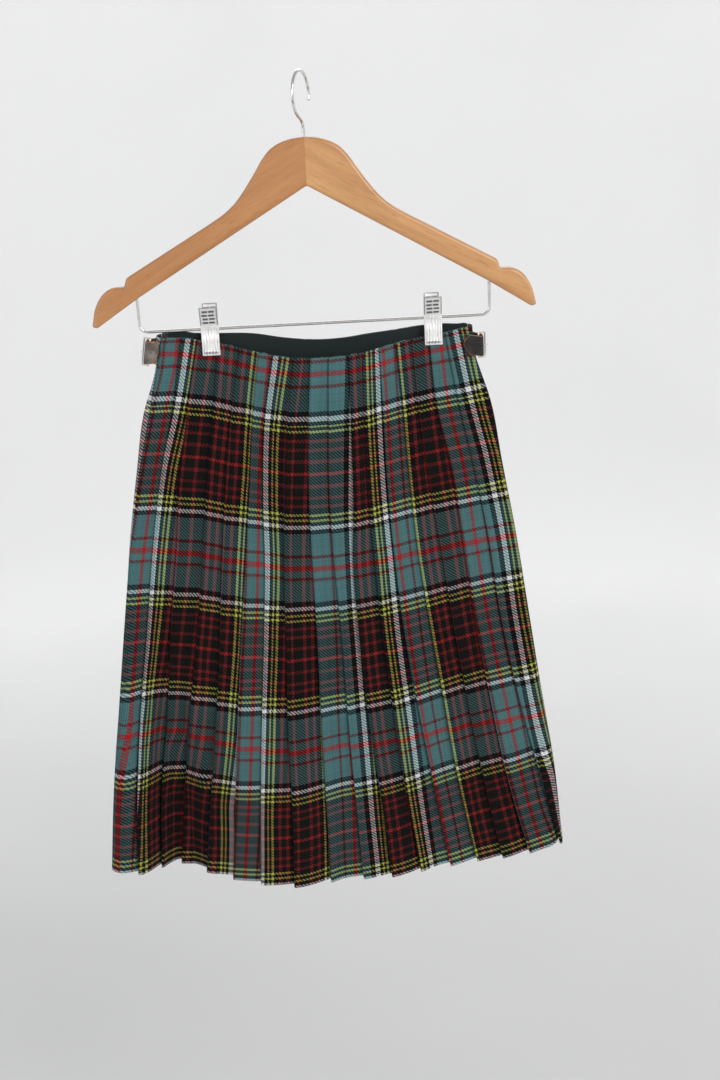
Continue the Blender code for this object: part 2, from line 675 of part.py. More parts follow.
def main():
    clear_scene()
    tartan = new_material("tartan wool", (0.035, 0.075, 0.075), 0.9)
    lining = new_material("dark green lining", (0.012, 0.03, 0.025), 0.85)
    leather = new_material("dark leather", (0.035, 0.03, 0.028), 0.55)
    steel = new_material("nickel plate", (0.72, 0.71, 0.69), 0.22, 1.0)
    wood = new_material("varnished wood", (0.36, 0.19, 0.08), 0.35)

    wall("pleated_back", [pleat_row(share) for share in CLOTH_ROWS], WALL, tartan)
    wall("over_apron", [over_apron_row(share) for share in CLOTH_ROWS], WALL, tartan)
    wall("under_apron", [apron_row(share, 0.0, SEAM_GAP / 2, 6.0) for share in CLOTH_ROWS], WALL, tartan)
    band = LINING_DEPTH / LENGTH
    wall("waist_lining", [apron_row(share * band, -LAYER, 1.5, 7.5) for share in LINING_ROWS], WALL, lining)

    hanger_wood(wood)
    hanger_hook(steel)
    trouser_bar(steel)
    for name, place in CLIPS.items():
        clip(f"clip_{name}", place, steel, steel)
    for name, hip in HIPS.items():
        hip_fastening(f"hip_{name}", hip, leather, steel)


main()
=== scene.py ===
import math

import bpy
import numpy as np
from mathutils import Matrix, Vector
from mathutils.geometry import tessellate_polygon


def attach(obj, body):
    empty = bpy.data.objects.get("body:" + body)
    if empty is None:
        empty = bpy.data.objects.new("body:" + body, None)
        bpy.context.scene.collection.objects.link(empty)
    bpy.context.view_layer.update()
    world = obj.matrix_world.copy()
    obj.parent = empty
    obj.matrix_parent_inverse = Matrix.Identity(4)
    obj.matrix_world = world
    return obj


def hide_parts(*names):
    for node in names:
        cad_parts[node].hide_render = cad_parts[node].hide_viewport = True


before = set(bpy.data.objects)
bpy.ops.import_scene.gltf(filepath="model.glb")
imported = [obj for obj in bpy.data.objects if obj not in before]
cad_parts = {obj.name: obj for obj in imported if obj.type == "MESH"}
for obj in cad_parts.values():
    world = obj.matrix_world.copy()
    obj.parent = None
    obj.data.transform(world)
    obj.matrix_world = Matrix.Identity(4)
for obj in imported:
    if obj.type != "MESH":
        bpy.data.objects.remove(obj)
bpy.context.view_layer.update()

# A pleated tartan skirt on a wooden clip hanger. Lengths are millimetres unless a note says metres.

scene = bpy.context.scene
print("frame loaded:", len(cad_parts), "nodes")


cameraSetup = {
    "place": (34.3, -1482.0, 40.2),
    "down": 18.97,  # degrees below level
    "roll": 3.0,
    "lens": 50.0,
}

cameraData = bpy.data.cameras.new("camera")
cameraData.lens = cameraSetup["lens"]
cameraData.sensor_width = 36.0
cameraData.clip_start = 0.05
cameraData.clip_end = 60.0
camera = bpy.data.objects.new("camera", cameraData)
scene.collection.objects.link(camera)
scene.camera = camera
down = math.radians(cameraSetup["down"])
roll = math.radians(cameraSetup["roll"])
ahead = Vector((0.0, math.cos(down), -math.sin(down)))
upright = Vector((0.0, math.sin(down), math.cos(down)))
level = Vector((1.0, 0.0, 0.0))
camRight = level * math.cos(roll) - upright * math.sin(roll)
camUp = level * math.sin(roll) + upright * math.cos(roll)
turn = Matrix((camRight, camUp, -ahead)).transposed().to_4x4()
camera.matrix_world = Matrix.Translation(Vector(cameraSetup["place"]) * 0.001) @ turn

studio = {
    "floorHeight": -1.62,  # metres below the top of the hook
    "floorReach": 6.0,
    "floorBend": 2.0,
    "floorSides": 96,
    "backdropTop": 3.4,
    "world": (0.93, 0.94, 0.95),
    "worldPower": 0.50,
    "near": (0.68, 0.68, 0.685),  # the floor below the hanger, and the backdrop far from it
    "far": (0.80, 0.80, 0.80),
    "glow": (0.0, 0.24),  # the backdrop's own light, near and far, which keeps it even
    "lights": (
        # name, place (m), aims at, width, height, watts, colour
        ("key", (1.7, -2.3, 1.1), (0.0, 0.0, -0.5), 1.4, 1.8, 52.0, (1.0, 0.985, 0.965)),
        ("fill", (-2.3, -2.2, 0.3), (0.0, 0.0, -0.5), 1.4, 1.8, 12.0, (0.95, 0.975, 1.0)),
        ("back", (0.3, 2.4, 1.3), (0.0, 0.0, -0.5), 1.8, 1.4, 16.0, (1.0, 1.0, 1.0)),
    ),
    # a dark card in front and below, for the metal to mirror: middle (m), width, height
    "card": ((0.0, -2.3, -1.27), 3.2, 0.66),
}


def feed(tree, target, source):
    # a socket takes a link, or a plain value
    if isinstance(source, bpy.types.NodeSocket):
        tree.links.new(source, target)
    else:
        target.default_value = (*source, 1.0) if target.type == "RGBA" else source


def addNode(tree, kind, inputs, **settings):
    # a new node, whose inputs go by place or by name
    node = tree.nodes.new("ShaderNode" + kind)
    for name, value in settings.items():
        setattr(node, name, value)
    for place, value in inputs.items():
        feed(tree, node.inputs[place], value)
    return node.outputs


def mathNode(tree, operation, first, second=0.0, clamp=False):
    return addNode(tree, "Math", {0: first, 1: second}, operation=operation, use_clamp=clamp)[0]


def plus(tree, first, second, *more):
    total = mathNode(tree, "ADD", first, second)
    return plus(tree, total, *more) if more else total


def minus(tree, first, second):
    return mathNode(tree, "SUBTRACT", first, second)


def times(tree, first, second):
    return mathNode(tree, "MULTIPLY", first, second)


def choose(tree, choice, first, second):
    # the first value where choice is 1, the second where it is 0
    return plus(tree, times(tree, choice, first), times(tree, minus(tree, 1.0, choice), second))


def mixColour(tree, factor, first, second, blend="MIX"):
    return addNode(tree, "Mix", {0: factor, 6: first, 7: second}, data_type="RGBA", blend_type=blend)[2]


def mapValue(tree, value, fromLow, fromHigh, toLow=0.0, toHigh=1.0):
    return addNode(tree, "MapRange", dict(enumerate((value, fromLow, fromHigh, toLow, toHigh))))[0]


def noiseNode(tree, vector, scale, detail=3.0, rough=0.5, distortion=0.0):
    inputs = {"Vector": vector, "Scale": scale, "Detail": detail, "Roughness": rough,
              "Distortion": distortion}
    return addNode(tree, "TexNoise", inputs)["Fac"]


def gammaNode(tree, colour, power):
    return addNode(tree, "Gamma", {"Color": colour, "Gamma": power})[0]


def combine(tree, x, y, z):
    return addNode(tree, "CombineXYZ", {0: x, 1: y, 2: z})[0]


def objectPlace(tree):
    return addNode(tree, "TexCoord", {})["Object"]


def rimNode(tree):
    # what closedShell wrote as rimMask
    return addNode(tree, "Attribute", {}, attribute_name="rim")["Fac"]


def spaced(names):
    # keywords as the names of sockets
    return {name.replace("_", " "): value for name, value in names.items()}


def newGroup(name, **inputs):
    # a group and its inputs: values with their starts, or a vector where the start is None
    group = bpy.data.node_groups.new(name, "ShaderNodeTree")
    for label, start in spaced(inputs).items():
        kind = "NodeSocketVector" if start is None else "NodeSocketFloat"
        socket = group.interface.new_socket(label, in_out="INPUT", socket_type=kind)
        if start is not None:
            socket.default_value = start
    return group, group.nodes.new("NodeGroupInput").outputs


def closeGroup(group, kind="Float", **results):
    for label in spaced(results):
        group.interface.new_socket(label, in_out="OUTPUT", socket_type="NodeSocket" + kind)
    ends = group.nodes.new("NodeGroupOutput").inputs
    for label, value in spaced(results).items():
        group.links.new(value, ends[label])
    return group


def useGroup(tree, group, **values):
    return addNode(tree, "Group", spaced(values), node_tree=group)


def newMaterial(name):
    material = bpy.data.materials.new(name)
    material.use_nodes = True
    return material, material.node_tree


def finishMaterial(material, bump=None, **values):
    # links or plain values for the shader's own sockets; bump is (height, metres, strength)
    tree = material.node_tree
    if bump:
        values["Normal"] = addNode(tree, "Bump", dict(zip(("Height", "Distance", "Strength"), bump)))[0]
    for label, value in spaced(values).items():
        feed(tree, tree.nodes["Principled BSDF"].inputs[label], value)
    return material


def gridFaces(rings, sides, start=0, closed=False):
    # quads between rings of points; a closed one joins its last ring to its first
    faces = []
    for i in range(rings if closed else rings - 1):
        here, following = start + i * sides, start + (i + 1) % rings * sides
        for k in range(sides):
            side = (k + 1) % sides
            faces.append((here + k, here + side, following + side, following + k))
    return faces


def capFaces(rings, sides, start=0):
    # the two ends of an open tube
    last = start + (rings - 1) * sides
    return [tuple(range(start, start + sides))[::-1], tuple(range(last, last + sides))]


def newPiece(name, points, faces, material):
    # points in metres
    mesh = bpy.data.meshes.new(name)
    mesh.from_pydata(points, [], faces)
    mesh.materials.append(material)
    mesh.shade_smooth()
    piece = bpy.data.objects.new(name, mesh)
    scene.collection.objects.link(piece)
    return piece


def dressStudio():
    world = bpy.data.worlds.new("pale room")
    world.use_nodes = True
    background = world.node_tree.nodes["Background"]
    feed(world.node_tree, background.inputs[0], studio["world"])
    feed(world.node_tree, background.inputs[1], studio["worldPower"])
    scene.world = world

    # a round floor that curves up into a pale backdrop on all sides
    height, bend, sides = studio["floorHeight"], studio["floorBend"], studio["floorSides"]
    flat = studio["floorReach"] - bend
    profile = [(flat, height)]
    profile += [(flat + bend * math.sin(a), height + bend * (1 - math.cos(a)))
                for a in np.radians(np.linspace(7.5, 90.0, 12))]
    profile.append((studio["floorReach"], studio["backdropTop"]))
    points = [(away * math.cos(2 * math.pi * k / sides), away * math.sin(2 * math.pi * k / sides), z)
              for away, z in profile for k in range(sides)]
    points.append((0.0, 0.0, height))
    faces = [face[::-1] for face in gridFaces(len(profile), sides)]
    faces += [(len(points) - 1, k, (k + 1) % sides) for k in range(sides)]
    material, tree = newMaterial("pale floor")
    place = objectPlace(tree)
    away = addNode(tree, "VectorMath", {0: place}, operation="LENGTH")["Value"]
    cloud = mapValue(tree, noiseNode(tree, place, 1.3, 2.0), 0.3, 0.7, -0.05, 0.05)
    tone = mathNode(tree, "ADD", mapValue(tree, away, 1.7, 3.4), cloud, clamp=True)
    dim, bright = ((value, value, value) for value in studio["glow"])
    finishMaterial(material, Base_Color=mixColour(tree, tone, studio["near"], studio["far"]), Roughness=0.95,
                   Specular_IOR_Level=0.1, Emission_Color=mixColour(tree, tone, dim, bright),
                   Emission_Strength=1.0)
    newPiece("floor", points, faces, material)

    (x, y, z), wide, tall = studio["card"]
    corners = ((0.5, -0.5), (-0.5, -0.5), (-0.5, 0.5), (0.5, 0.5))
    points = [(x + wide * dx, y, z + tall * dz) for dx, dz in corners]
    material, tree = newMaterial("black felt")
    finishMaterial(material, Base_Color=(0.02, 0.02, 0.022), Roughness=1.0)
    card = newPiece("dark card", points, [(0, 1, 2, 3)], material)
    card.visible_camera = False

    for name, place, aim, wide, tall, watts, colour in studio["lights"]:
        light = bpy.data.lights.new(name, "AREA")
        light.shape = "RECTANGLE"
        light.size = wide
        light.size_y = tall
        light.energy = watts
        light.color = colour
        lamp = bpy.data.objects.new(name, light)
        lamp.location = place
        lamp.rotation_euler = (Vector(aim) - Vector(place)).to_track_quat("-Z", "Y").to_euler()
        scene.collection.objects.link(lamp)
    scene.view_settings.view_transform = "Standard"
    scene.view_settings.look = "None"
    print("studio: floor and", len(studio["lights"]), "lights")


dressStudio()


# How the cloth hangs: the same form as the solids, read more finely.
skirtForm = {
    "length": 592.0,  # waist edge to hem, along the cloth
    "thick": 1.0,
    "rimDraw": (0.55, 0.6),  # how thin the cloth is left at the hem and waist, and at the sides
    "layer": 1.36,  # one cloth and the air beside it
    "seamGap": 0.3,
    "pleatStep": (4.6, 9.0),  # waist, hem
    "underlay": 0.62,  # share of a face that lies doubled below it
    "under": 0.42,  # how far out a face starts below the next one, of the step
    "foldOpen": (1.36, 1.9),
    "hemLift": 2.5,
    "sewnTo": 0.2,  # share of the length that is stitched down
    "seamShift": (5.0, 14.0),  # from the sides to the seams
    "nearDepth": (1.4, 14.5),
    "farDepth": (3.0, 15.0),
    "shift": 2.5,
    "corner": (2.4, 13.0),
    "edgeInset": (2.0, 7.0),
    "outlinePoints": (61, 200, 801),  # of a corner, half the aprons' side, the pleats' side
    "stations": (0.0, 0.12, 0.24, 0.38, 0.51, 0.68, 0.83, 1.0),
    "folds": (  # X of each outer fold at those shares of the length
        (-152, -169, -187, -205, -218, -233, -246, -258),
        (-133, -147, -165, -181, -193, -209, -219, -227),
        (-116, -132, -146, -157, -169, -182, -195, -203),
        (-96, -107, -119, -130, -141, -158, -171, -184),
        (-75, -89, -100, -110, -118, -130, -142, -156),
        (-57, -68, -76, -86, -96, -107, -116, -126),
        (-44, -57, -63, -66, -72, -81, -88, -95),
        (-21, -33, -40, -46, -49, -53, -54, -58),
        (-5, -11, -15, -16, -16, -17, -17, -17),
        (13, 9, 6, 7, 10, 12, 15, 19),
        (33, 32, 30.5, 26.5, 28.5, 34, 43, 51),
        (47, 45, 45, 49, 53, 62, 71, 84),
        (64, 65, 66, 70, 76, 89, 102, 117),
        (80, 85, 89, 95, 104, 117, 129, 147),
        (97, 101, 108, 119, 128, 142, 156, 175),
        (114, 119, 132, 142, 151, 166, 181, 205),
        (130, 141, 155, 169, 178, 196, 216, 241),
    ),
    "waistEdge": (  # X, height of the pleated side, height of the apron side
        (-158, -246.2, -244.6), (-153, -245.2, -242.2), (-114, -249, -243.5), (-95, -253, -244.5),
        (-62, -262.5, -246.5),
        (-30, -268.5, -252.5), (3, -270.5, -256), (34, -269.5, -255), (50, -268, -253),
        (78, -262.5, -250.3), (107, -257, -247.2), (129, -254, -246.6), (142, -252.5, -247.5),
        (153.5, -250.8, -248.2), (158, -252.8, -251.4),
    ),
    "sideShares": (0.0, 0.05, 0.085, 0.12, 0.24, 0.38, 0.51, 0.68, 0.83, 1.0),
    "leftSide": (-158, -160.5, -167, -175, -191, -207, -219, -235, -248, -261),
    "rightSide": (158, 160.2, 166.2, 173, 185, 199, 210, 224, 236.5, 244),
    "swells": (  # X, half width, depth, first full share, last full share, fade
        (3.0, 62.0, 13.0, 0.0, 0.16, 0.4),
        (-242.0, 31.0, 21.0, 0.92, 1.0, 0.5),
        (-178.0, 25.0, -15.0, 0.92, 1.0, 0.5),
        (-72.0, 54.0, 13.0, 0.85, 1.0, 0.5),
        (122.0, 50.0, -6.0, 0.85, 1.0, 0.5),
    ),
    "ripple": 0.7,  # small waves of worn wool, at the hem
}


def ease(value, low, high):
    share = np.clip((np.asarray(value, float) - low) / (high - low), 0.0, 1.0)
    return share * share * (3.0 - 2.0 * share)


def between(pair, share):
    return pair[0] + (pair[1] - pair[0]) * share


def unit(rows):
    return rows / np.linalg.norm(rows, axis=1)[:, None]


def sideways(rows):
    # flat directions, turned right by a quarter
    return np.stack([rows[:, 1], -rows[:, 0]], axis=1)


def walkedAlong(points):
    # how far each point is along the line through them all
    return np.concatenate([[0.0], np.cumsum(np.linalg.norm(np.diff(points, axis=0), axis=1))])


def readAt(at, walked, points):
    return np.stack([np.interp(at, walked, column) for column in np.transpose(points)], axis=1)


def softened(values, passes, closed=False):
    # each pass draws the values towards their neighbours; an open line keeps its ends
    values = np.array(values, float)
    for _ in range(passes):
        if closed:
            values = (np.roll(values, 1, axis=0) + 2 * values + np.roll(values, -1, axis=0)) / 4
        else:
            values[1:-1] = (values[:-2] + 2 * values[1:-1] + values[2:]) / 4
    return values


def curveThrough(xs, ys, x):
    # a smooth curve through points, read at x
    xs = np.asarray(xs, float)
    ys = np.asarray(ys, float)
    slopes = np.gradient(ys, xs)
    x = np.clip(np.asarray(x, float), xs[0], xs[-1])
    i = np.clip(np.searchsorted(xs, x, side="right") - 1, 0, len(xs) - 2)
    wide = xs[i + 1] - xs[i]
    t = (x - xs[i]) / wide
    start = (1 + 2 * t) * (1 - t) ** 2 * ys[i] + t * (1 - t) ** 2 * wide * slopes[i]
    return start + t * t * (3 - 2 * t) * ys[i + 1] + t * t * (t - 1) * wide * slopes[i + 1]


def openedOut(share):
    # 0 where the pleats are stitched down, 1 at the hem
    sewn = skirtForm["sewnTo"]
    return float(ease(share, sewn, 1.0)) * 0.5 + 0.5 * max(0.0, (share - sewn) / (1.0 - sewn))


def waistHeight(x, column):
    table = np.array(skirtForm["waistEdge"], float)
    return curveThrough(table[:, 0], table[:, column], x)


def hang(topX, topZ, hemX, share):
    # height on a straight line of cloth from the waist to the hem
    return topZ - share * np.sqrt(skirtForm["length"] ** 2 - (hemX - topX) ** 2)


def foldsAt(share):
    table = np.array(skirtForm["folds"], float)
    x = np.array([curveThrough(skirtForm["stations"], row, share) for row in table])
    return x, hang(table[:, 0], waistHeight(table[:, 0], 1), table[:, -1], share)


def sidesAt(share):
    return [curveThrough(skirtForm["sideShares"], skirtForm[name], share)
            for name in ("leftSide", "rightSide")]


def apronHeight(x, share):
    left, right = sidesAt(share)
    part = (x - left) / (right - left)
    waistX, hemX = (between(sidesAt(end), part) for end in (0.0, 1.0))
    return hang(waistX, waistHeight(waistX, 2), hemX, share)


def standsOut(x, share):
    # how far the pleats swell out of the plain outline here
    out = 0.0
    for place, half, depth, first, last, fade in skirtForm["swells"]:
        across = np.clip(1.0 - np.abs(x - place) / (half * 1.35), 0.0, 1.0)
        downward = ease(share, first - fade, first) * (1.0 - ease(share, last, last + fade))
        out = out + depth * ease(across, 0.0, 0.75) * downward
    waves = np.sin(x / 17.0 + 5.0 * share) + 0.6 * np.sin(x / 7.9 - 9.0 * share + 1.3) * np.sin(14.0 * share)
    return out + skirtForm["ripple"] * waves * float(ease(share, 0.25, 0.9))


def sectionAt(share):
    # the skirt's closed outline at this share: aprons' middle, left edge, pleats, right edge, aprons
    openShare = openedOut(share)
    inset, near, far, run = (between(skirtForm[name], openShare)
                             for name in ("edgeInset", "nearDepth", "farDepth", "corner"))
    left, right = (float(side) for side in sidesAt(share))
    left, right = left + inset, right - inset
    shift = skirtForm["shift"] * openShare
    cornerCount, farCount, nearCount = skirtForm["outlinePoints"]
    angle = np.linspace(0.0, math.pi / 2, cornerCount)
    middle = (left + right) / 2
    farHalf = np.linspace(0.0, 1.0, farCount)[:-1]
    nearHalf = np.linspace(0.0, 1.0, nearCount)[1:-1]
    turnX = run * (1 - np.sin(angle))
    x = np.concatenate([
        middle + (left + run - middle) * farHalf, left + turnX, (left + turnX)[::-1][1:],
        left + run + (right - left - 2 * run) * nearHalf,
        right - turnX, (right - turnX)[::-1][1:], (middle + (right - run - middle) * farHalf)[::-1],
    ])
    roundOff = np.cos(angle)
    y = np.concatenate([
        far + 0 * farHalf, far * roundOff, -near * roundOff[::-1][1:],
        -near + 0 * nearHalf,
        -near * roundOff, far * roundOff[::-1][1:], far + 0 * farHalf,
    ]) + shift
    y = y - standsOut(x, share) * ease((shift - y) / near, 0.0, 1.0)
    points = np.stack([x, y], axis=1)
    along = walkedAlong(points)
    return {"points": points, "along": along, "total": along[-1],
            "leftAt": float(along[np.argmin(x)]), "rightAt": float(along[np.argmax(x)])}


def readSection(section, along):
    return readAt(np.mod(along, section["total"]), section["along"], section["points"])


def placeOn(section, along, out):
    # points at these distances along the outline, moved outwards by out
    along = np.asarray(along, float)
    reach = 0.6  # the outline's direction is read over this much to both sides
    run = unit(readSection(section, along + reach) - readSection(section, along - reach))
    return readSection(section, along) + sideways(run) * np.broadcast_to(out, along.shape)[:, None]


def alongAt(section, x, out):
    # where the pleats' side of the outline, moved outwards by out, has this X
    run = np.linspace(section["leftAt"], section["rightAt"], 1600)
    return np.interp(x, placeOn(section, run, out)[:, 0], run)


def seamShift(share):
    return between(skirtForm["seamShift"], openedOut(share))


def twoFaces(row, thick):
    # the two faces of a sheet whose middle runs along this row, mitred at its turns
    normal = sideways(unit(np.diff(row[:, :2], axis=0)))
    normal = np.concatenate([normal[:1], normal, normal[-1:]])
    corner = unit(normal[:-1] + normal[1:])
    mitre = 1.0 / np.clip(np.sum(corner * normal[1:], axis=1), 0.6, 1.0)
    move = np.zeros_like(row)
    move[:, :2] = corner * (mitre * thick / 2)[:, None]
    return row + move, row - move


def bothFaces(rows, thick):
    return [np.array(face) for face in zip(*(twoFaces(row, thick) for row in rows))]


def linkMesh(name, points, faces, material, sharp=50.0):
    piece = newPiece(name, (np.asarray(points, float) * 0.001).tolist(), faces, material)
    piece.data.set_sharp_from_angle(angle=math.radians(sharp))
    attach(piece, "root")
    return piece


def standIn(piece, node):
    # the CAD node that the piece takes the place of
    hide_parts(node)
    return piece


def closedShell(name, front, back, material, chart=None, sharp=50.0, rimMask=None):
    # two grids of points joined round their edges
    # chart holds the sett before and after each point of the grid, and each row's share of the length
    rows, columns = front.shape[:2]
    half = rows * columns
    grid = np.arange(half).reshape(rows, columns)
    a, b, c, d = (part.ravel() for part in (grid[:-1, :-1], grid[1:, :-1], grid[1:, 1:], grid[:-1, 1:]))
    faces = [np.stack([a, b, c, d], axis=1), np.stack([a, d, c, b], axis=1) + half]
    for edge, order in ((grid[:, 0], (0, 1, 2, 3)), (grid[:, -1], (0, 3, 2, 1)),
                        (grid[0], (0, 3, 2, 1)), (grid[-1], (0, 1, 2, 3))):
        rim = np.stack([edge[:-1], edge[:-1] + half, edge[1:] + half, edge[1:]], axis=1)
        faces.append(rim[:, order])
    faces = np.concatenate(faces)
    points = np.concatenate([front.reshape(-1, 3), back.reshape(-1, 3)])
    piece = linkMesh(name, points, faces.tolist(), material, sharp)
    if chart:
        before, after = (np.asarray(part, float).ravel() for part in chart[:2])
        downward = np.repeat([weftAt(share) for share in chart[2]], columns)
        flat = faces % half
        column = flat % columns
        # a point of a face takes the reading of the side that the face lies on
        across = np.where(column == column.min(axis=1)[:, None], after[flat], before[flat])
        layer = piece.data.uv_layers.new(name="cloth")
        layer.data.foreach_set("uv", np.stack([across, downward[flat]], axis=2).astype(np.float32).ravel())
    # rimMask marks the raw edges of leather, and the painted shade in the clip plates' pressed marks
    if rimMask is not None:
        rim = piece.data.attributes.new("rim", "FLOAT", "POINT")
        rim.data.foreach_set("value", np.tile(np.asarray(rimMask, np.float32).ravel(), 2))
    return piece


def drawIn(front, back, edges, middle=None):
    # rounds the rim of a shell by drawing its two faces together at these parts of the grid
    middle = (front + back) / 2 if middle is None else middle
    for part, amount in edges:
        for face in (front, back):
            face[part] = middle[part] + (face[part] - middle[part]) * amount


# Weave, grain and wear are node groups that the materials share.
dyes = {
    "teal": (0.067, 0.155, 0.164),
    "ground": (0.0050, 0.0054, 0.0046),
    "black": (0.003, 0.003, 0.004),
    "red": (0.36, 0.015, 0.018),
    "warpRed": (0.36, 0.015, 0.017),
    "centreRed": (0.30, 0.014, 0.014),
    "thinRed": (0.150, 0.012, 0.013),
    "darkRed": (0.115, 0.012, 0.013),
    "white": (0.66, 0.68, 0.68),
    "yellow": (0.46, 0.46, 0.08),
}


def buildSettGroup(name, order, period):
    # colour of one thread by its distance from the middle of a blue-green stripe; 1 is 100 thread widths
    group, given = newGroup(name, Place=0.0)
    ramp = group.nodes.new("ShaderNodeValToRGB")
    ramp.color_ramp.interpolation = "CONSTANT"
    marks = ramp.color_ramp.elements
    marks[0].position = 0.0
    marks[0].color = (*dyes[order[0][1]], 1.0)
    marks.remove(marks[1])
    for place, colour in order[1:]:
        marks.new(place / 100.0).color = (*dyes[colour], 1.0)
    feed(group, ramp.inputs[0], mathNode(group, "PINGPONG", given["Place"], period / 100.0))
    return closeGroup(group, "Color", Colour=ramp.outputs[0])


def buildTwillGroup():
    # a 2/2 twill: which thread lies on top, how high it stands, and each thread's own shade
    group, given = newGroup("twill weave", Across=0.0, Down=0.0, Thread=0.0080)
    counts, places, bows, shades = [], [], [], []
    for k, name in enumerate(("Across", "Down")):
        count = mathNode(group, "DIVIDE", given[name], given["Thread"])
        whole = mathNode(group, "FLOOR", count)
        counts.append(whole)
        places.append(times(group, plus(group, whole, 0.5), given["Thread"]))
        bows.append(mathNode(group, "SINE", times(group, mathNode(group, "FRACT", count), math.pi)))
        shades.append(addNode(group, "TexWhiteNoise", {"Vector": combine(group, whole, 7.3 + k, 0.0)},
                              noise_dimensions="2D")["Value"])
    step = mathNode(group, "FLOORED_MODULO", minus(group, *counts), 4.0)
    onTop = mathNode(group, "LESS_THAN", step, 1.5)
    return closeGroup(group, Warp_On_Top=onTop, Height=choose(group, onTop, *bows),
                      Shade=choose(group, onTop, *shades), Warp_Place=places[0], Weft_Place=places[1])


def buildFuzzGroup():
    # loose fibres and soft uneven tone of worn wool
    group, given = newGroup("wool fuzz", Vector=None, Fibre_Size=1.0)
    fine = mathNode(group, "DIVIDE", 2600.0, given["Fibre Size"])
    scaled = addNode(group, "VectorMath", {0: given["Vector"], "Scale": fine}, operation="SCALE")[0]
    return closeGroup(group, Fibres=noiseNode(group, scaled, 1.0, 3.0, 0.65, 0.8),
                      Tone=noiseNode(group, given["Vector"], 11.0, 3.0, 0.55))


def buildGrainGroup():
    # leather: pebbled grain with creases, and worn places
    group, given = newGroup("leather grain", Vector=None, Pebbles=900.0)
    vector = given["Vector"]
    cells = addNode(group, "TexVoronoi", {"Vector": vector, "Scale": given["Pebbles"]}, feature="SMOOTH_F1")
    crease = noiseNode(group, vector, 260.0, 4.0, 0.6, 1.2)
    worn = mapValue(group, noiseNode(group, vector, 95.0, 5.0, 0.62, 0.6), 0.45, 0.68)
    return closeGroup(group, Height=plus(group, times(group, cells["Distance"], 0.6), crease), Worn=worn)


def buildMetalGroup():
    # plated metal: handling smudges and hairline scratches
    group, given = newGroup("metal wear", Vector=None, Roughness=0.2, Smudge=0.1)
    smudge = noiseNode(group, given["Vector"], 130.0, 4.0, 0.6)
    stretch = addNode(group, "Mapping", {"Vector": given["Vector"], "Scale": (900.0, 900.0, 60.0)})[0]
    lines = mapValue(group, noiseNode(group, stretch, 1.0, 2.0, 0.5), 0.52, 0.66)
    smeared = times(group, mapValue(group, smudge, 0.35, 0.7), given["Smudge"])
    rough = plus(group, given["Roughness"], smeared, times(group, lines, 0.06))
    return closeGroup(group, Roughness=rough, Scratch=lines, Dull=mapValue(group, smudge, 0.5, 0.75))


def buildWoodGroup():
    # straight grain that runs with X of the given vector: early and late wood, pores and fine fibres
    group, given = newGroup("wood grain", Vector=None)
    long, fine = (addNode(group, "Mapping", {"Vector": given["Vector"], "Scale": scale})[0]
                  for scale in ((5.0, 62.0, 40.0), (60.0, 1500.0, 900.0)))
    return closeGroup(group, Rings=noiseNode(group, long, 1.0, 4.0, 0.55, 0.6),
                      Pores=mapValue(group, noiseNode(group, fine, 1.0, 2.0, 0.6), 0.56, 0.7),
                      Tone=noiseNode(group, given["Vector"], 14.0, 3.0, 0.5))


weftSett = buildSettGroup("weft sett", (
    (0.0, "red"), (2.4, "teal"), (10.3, "darkRed"), (13.4, "teal"), (35.8, "black"), (40.8, "white"),
    (45.2, "black"), (49.1, "yellow"), (51.5, "black"), (54.6, "yellow"), (57.0, "black"), (62.9, "thinRed"),
    (66.1, "ground"), (71.6, "thinRed"), (74.8, "ground"), (83.5, "thinRed"), (86.8, "ground"),
    (95.9, "centreRed"),
), 97.7)
warpSett = buildSettGroup("warp sett", (
    (0.0, "warpRed"), (1.8, "teal"), (10.0, "darkRed"), (12.8, "teal"), (35.8, "black"), (40.9, "white"),
    (45.1, "black"), (48.3, "yellow"), (50.4, "black"), (52.6, "yellow"), (54.7, "black"), (59.9, "thinRed"),
    (63.1, "ground"), (68.1, "thinRed"), (71.3, "ground"), (80.1, "thinRed"), (83.3, "ground"),
    (92.9, "thinRed"),
), 94.5)
twillGroup = buildTwillGroup()
fuzzGroup = buildFuzzGroup()
grainGroup = buildGrainGroup()
metalGroup = buildMetalGroup()
woodGroup = buildWoodGroup()


def clothWeave(tree, thread, fibreSize):
    # the weave of a cloth, read from its chart, and its fuzz
    parts = addNode(tree, "SeparateXYZ", {0: addNode(tree, "UVMap", {}, uv_map="cloth")[0]})
    weave = useGroup(tree, twillGroup, Across=parts[0], Down=parts[1], Thread=thread)
    return weave, useGroup(tree, fuzzGroup, Vector=objectPlace(tree), Fibre_Size=fibreSize)


def shaded(tree, colour, level):
    return mixColour(tree, 1.0, colour, combine(tree, level, level, level), "MULTIPLY")


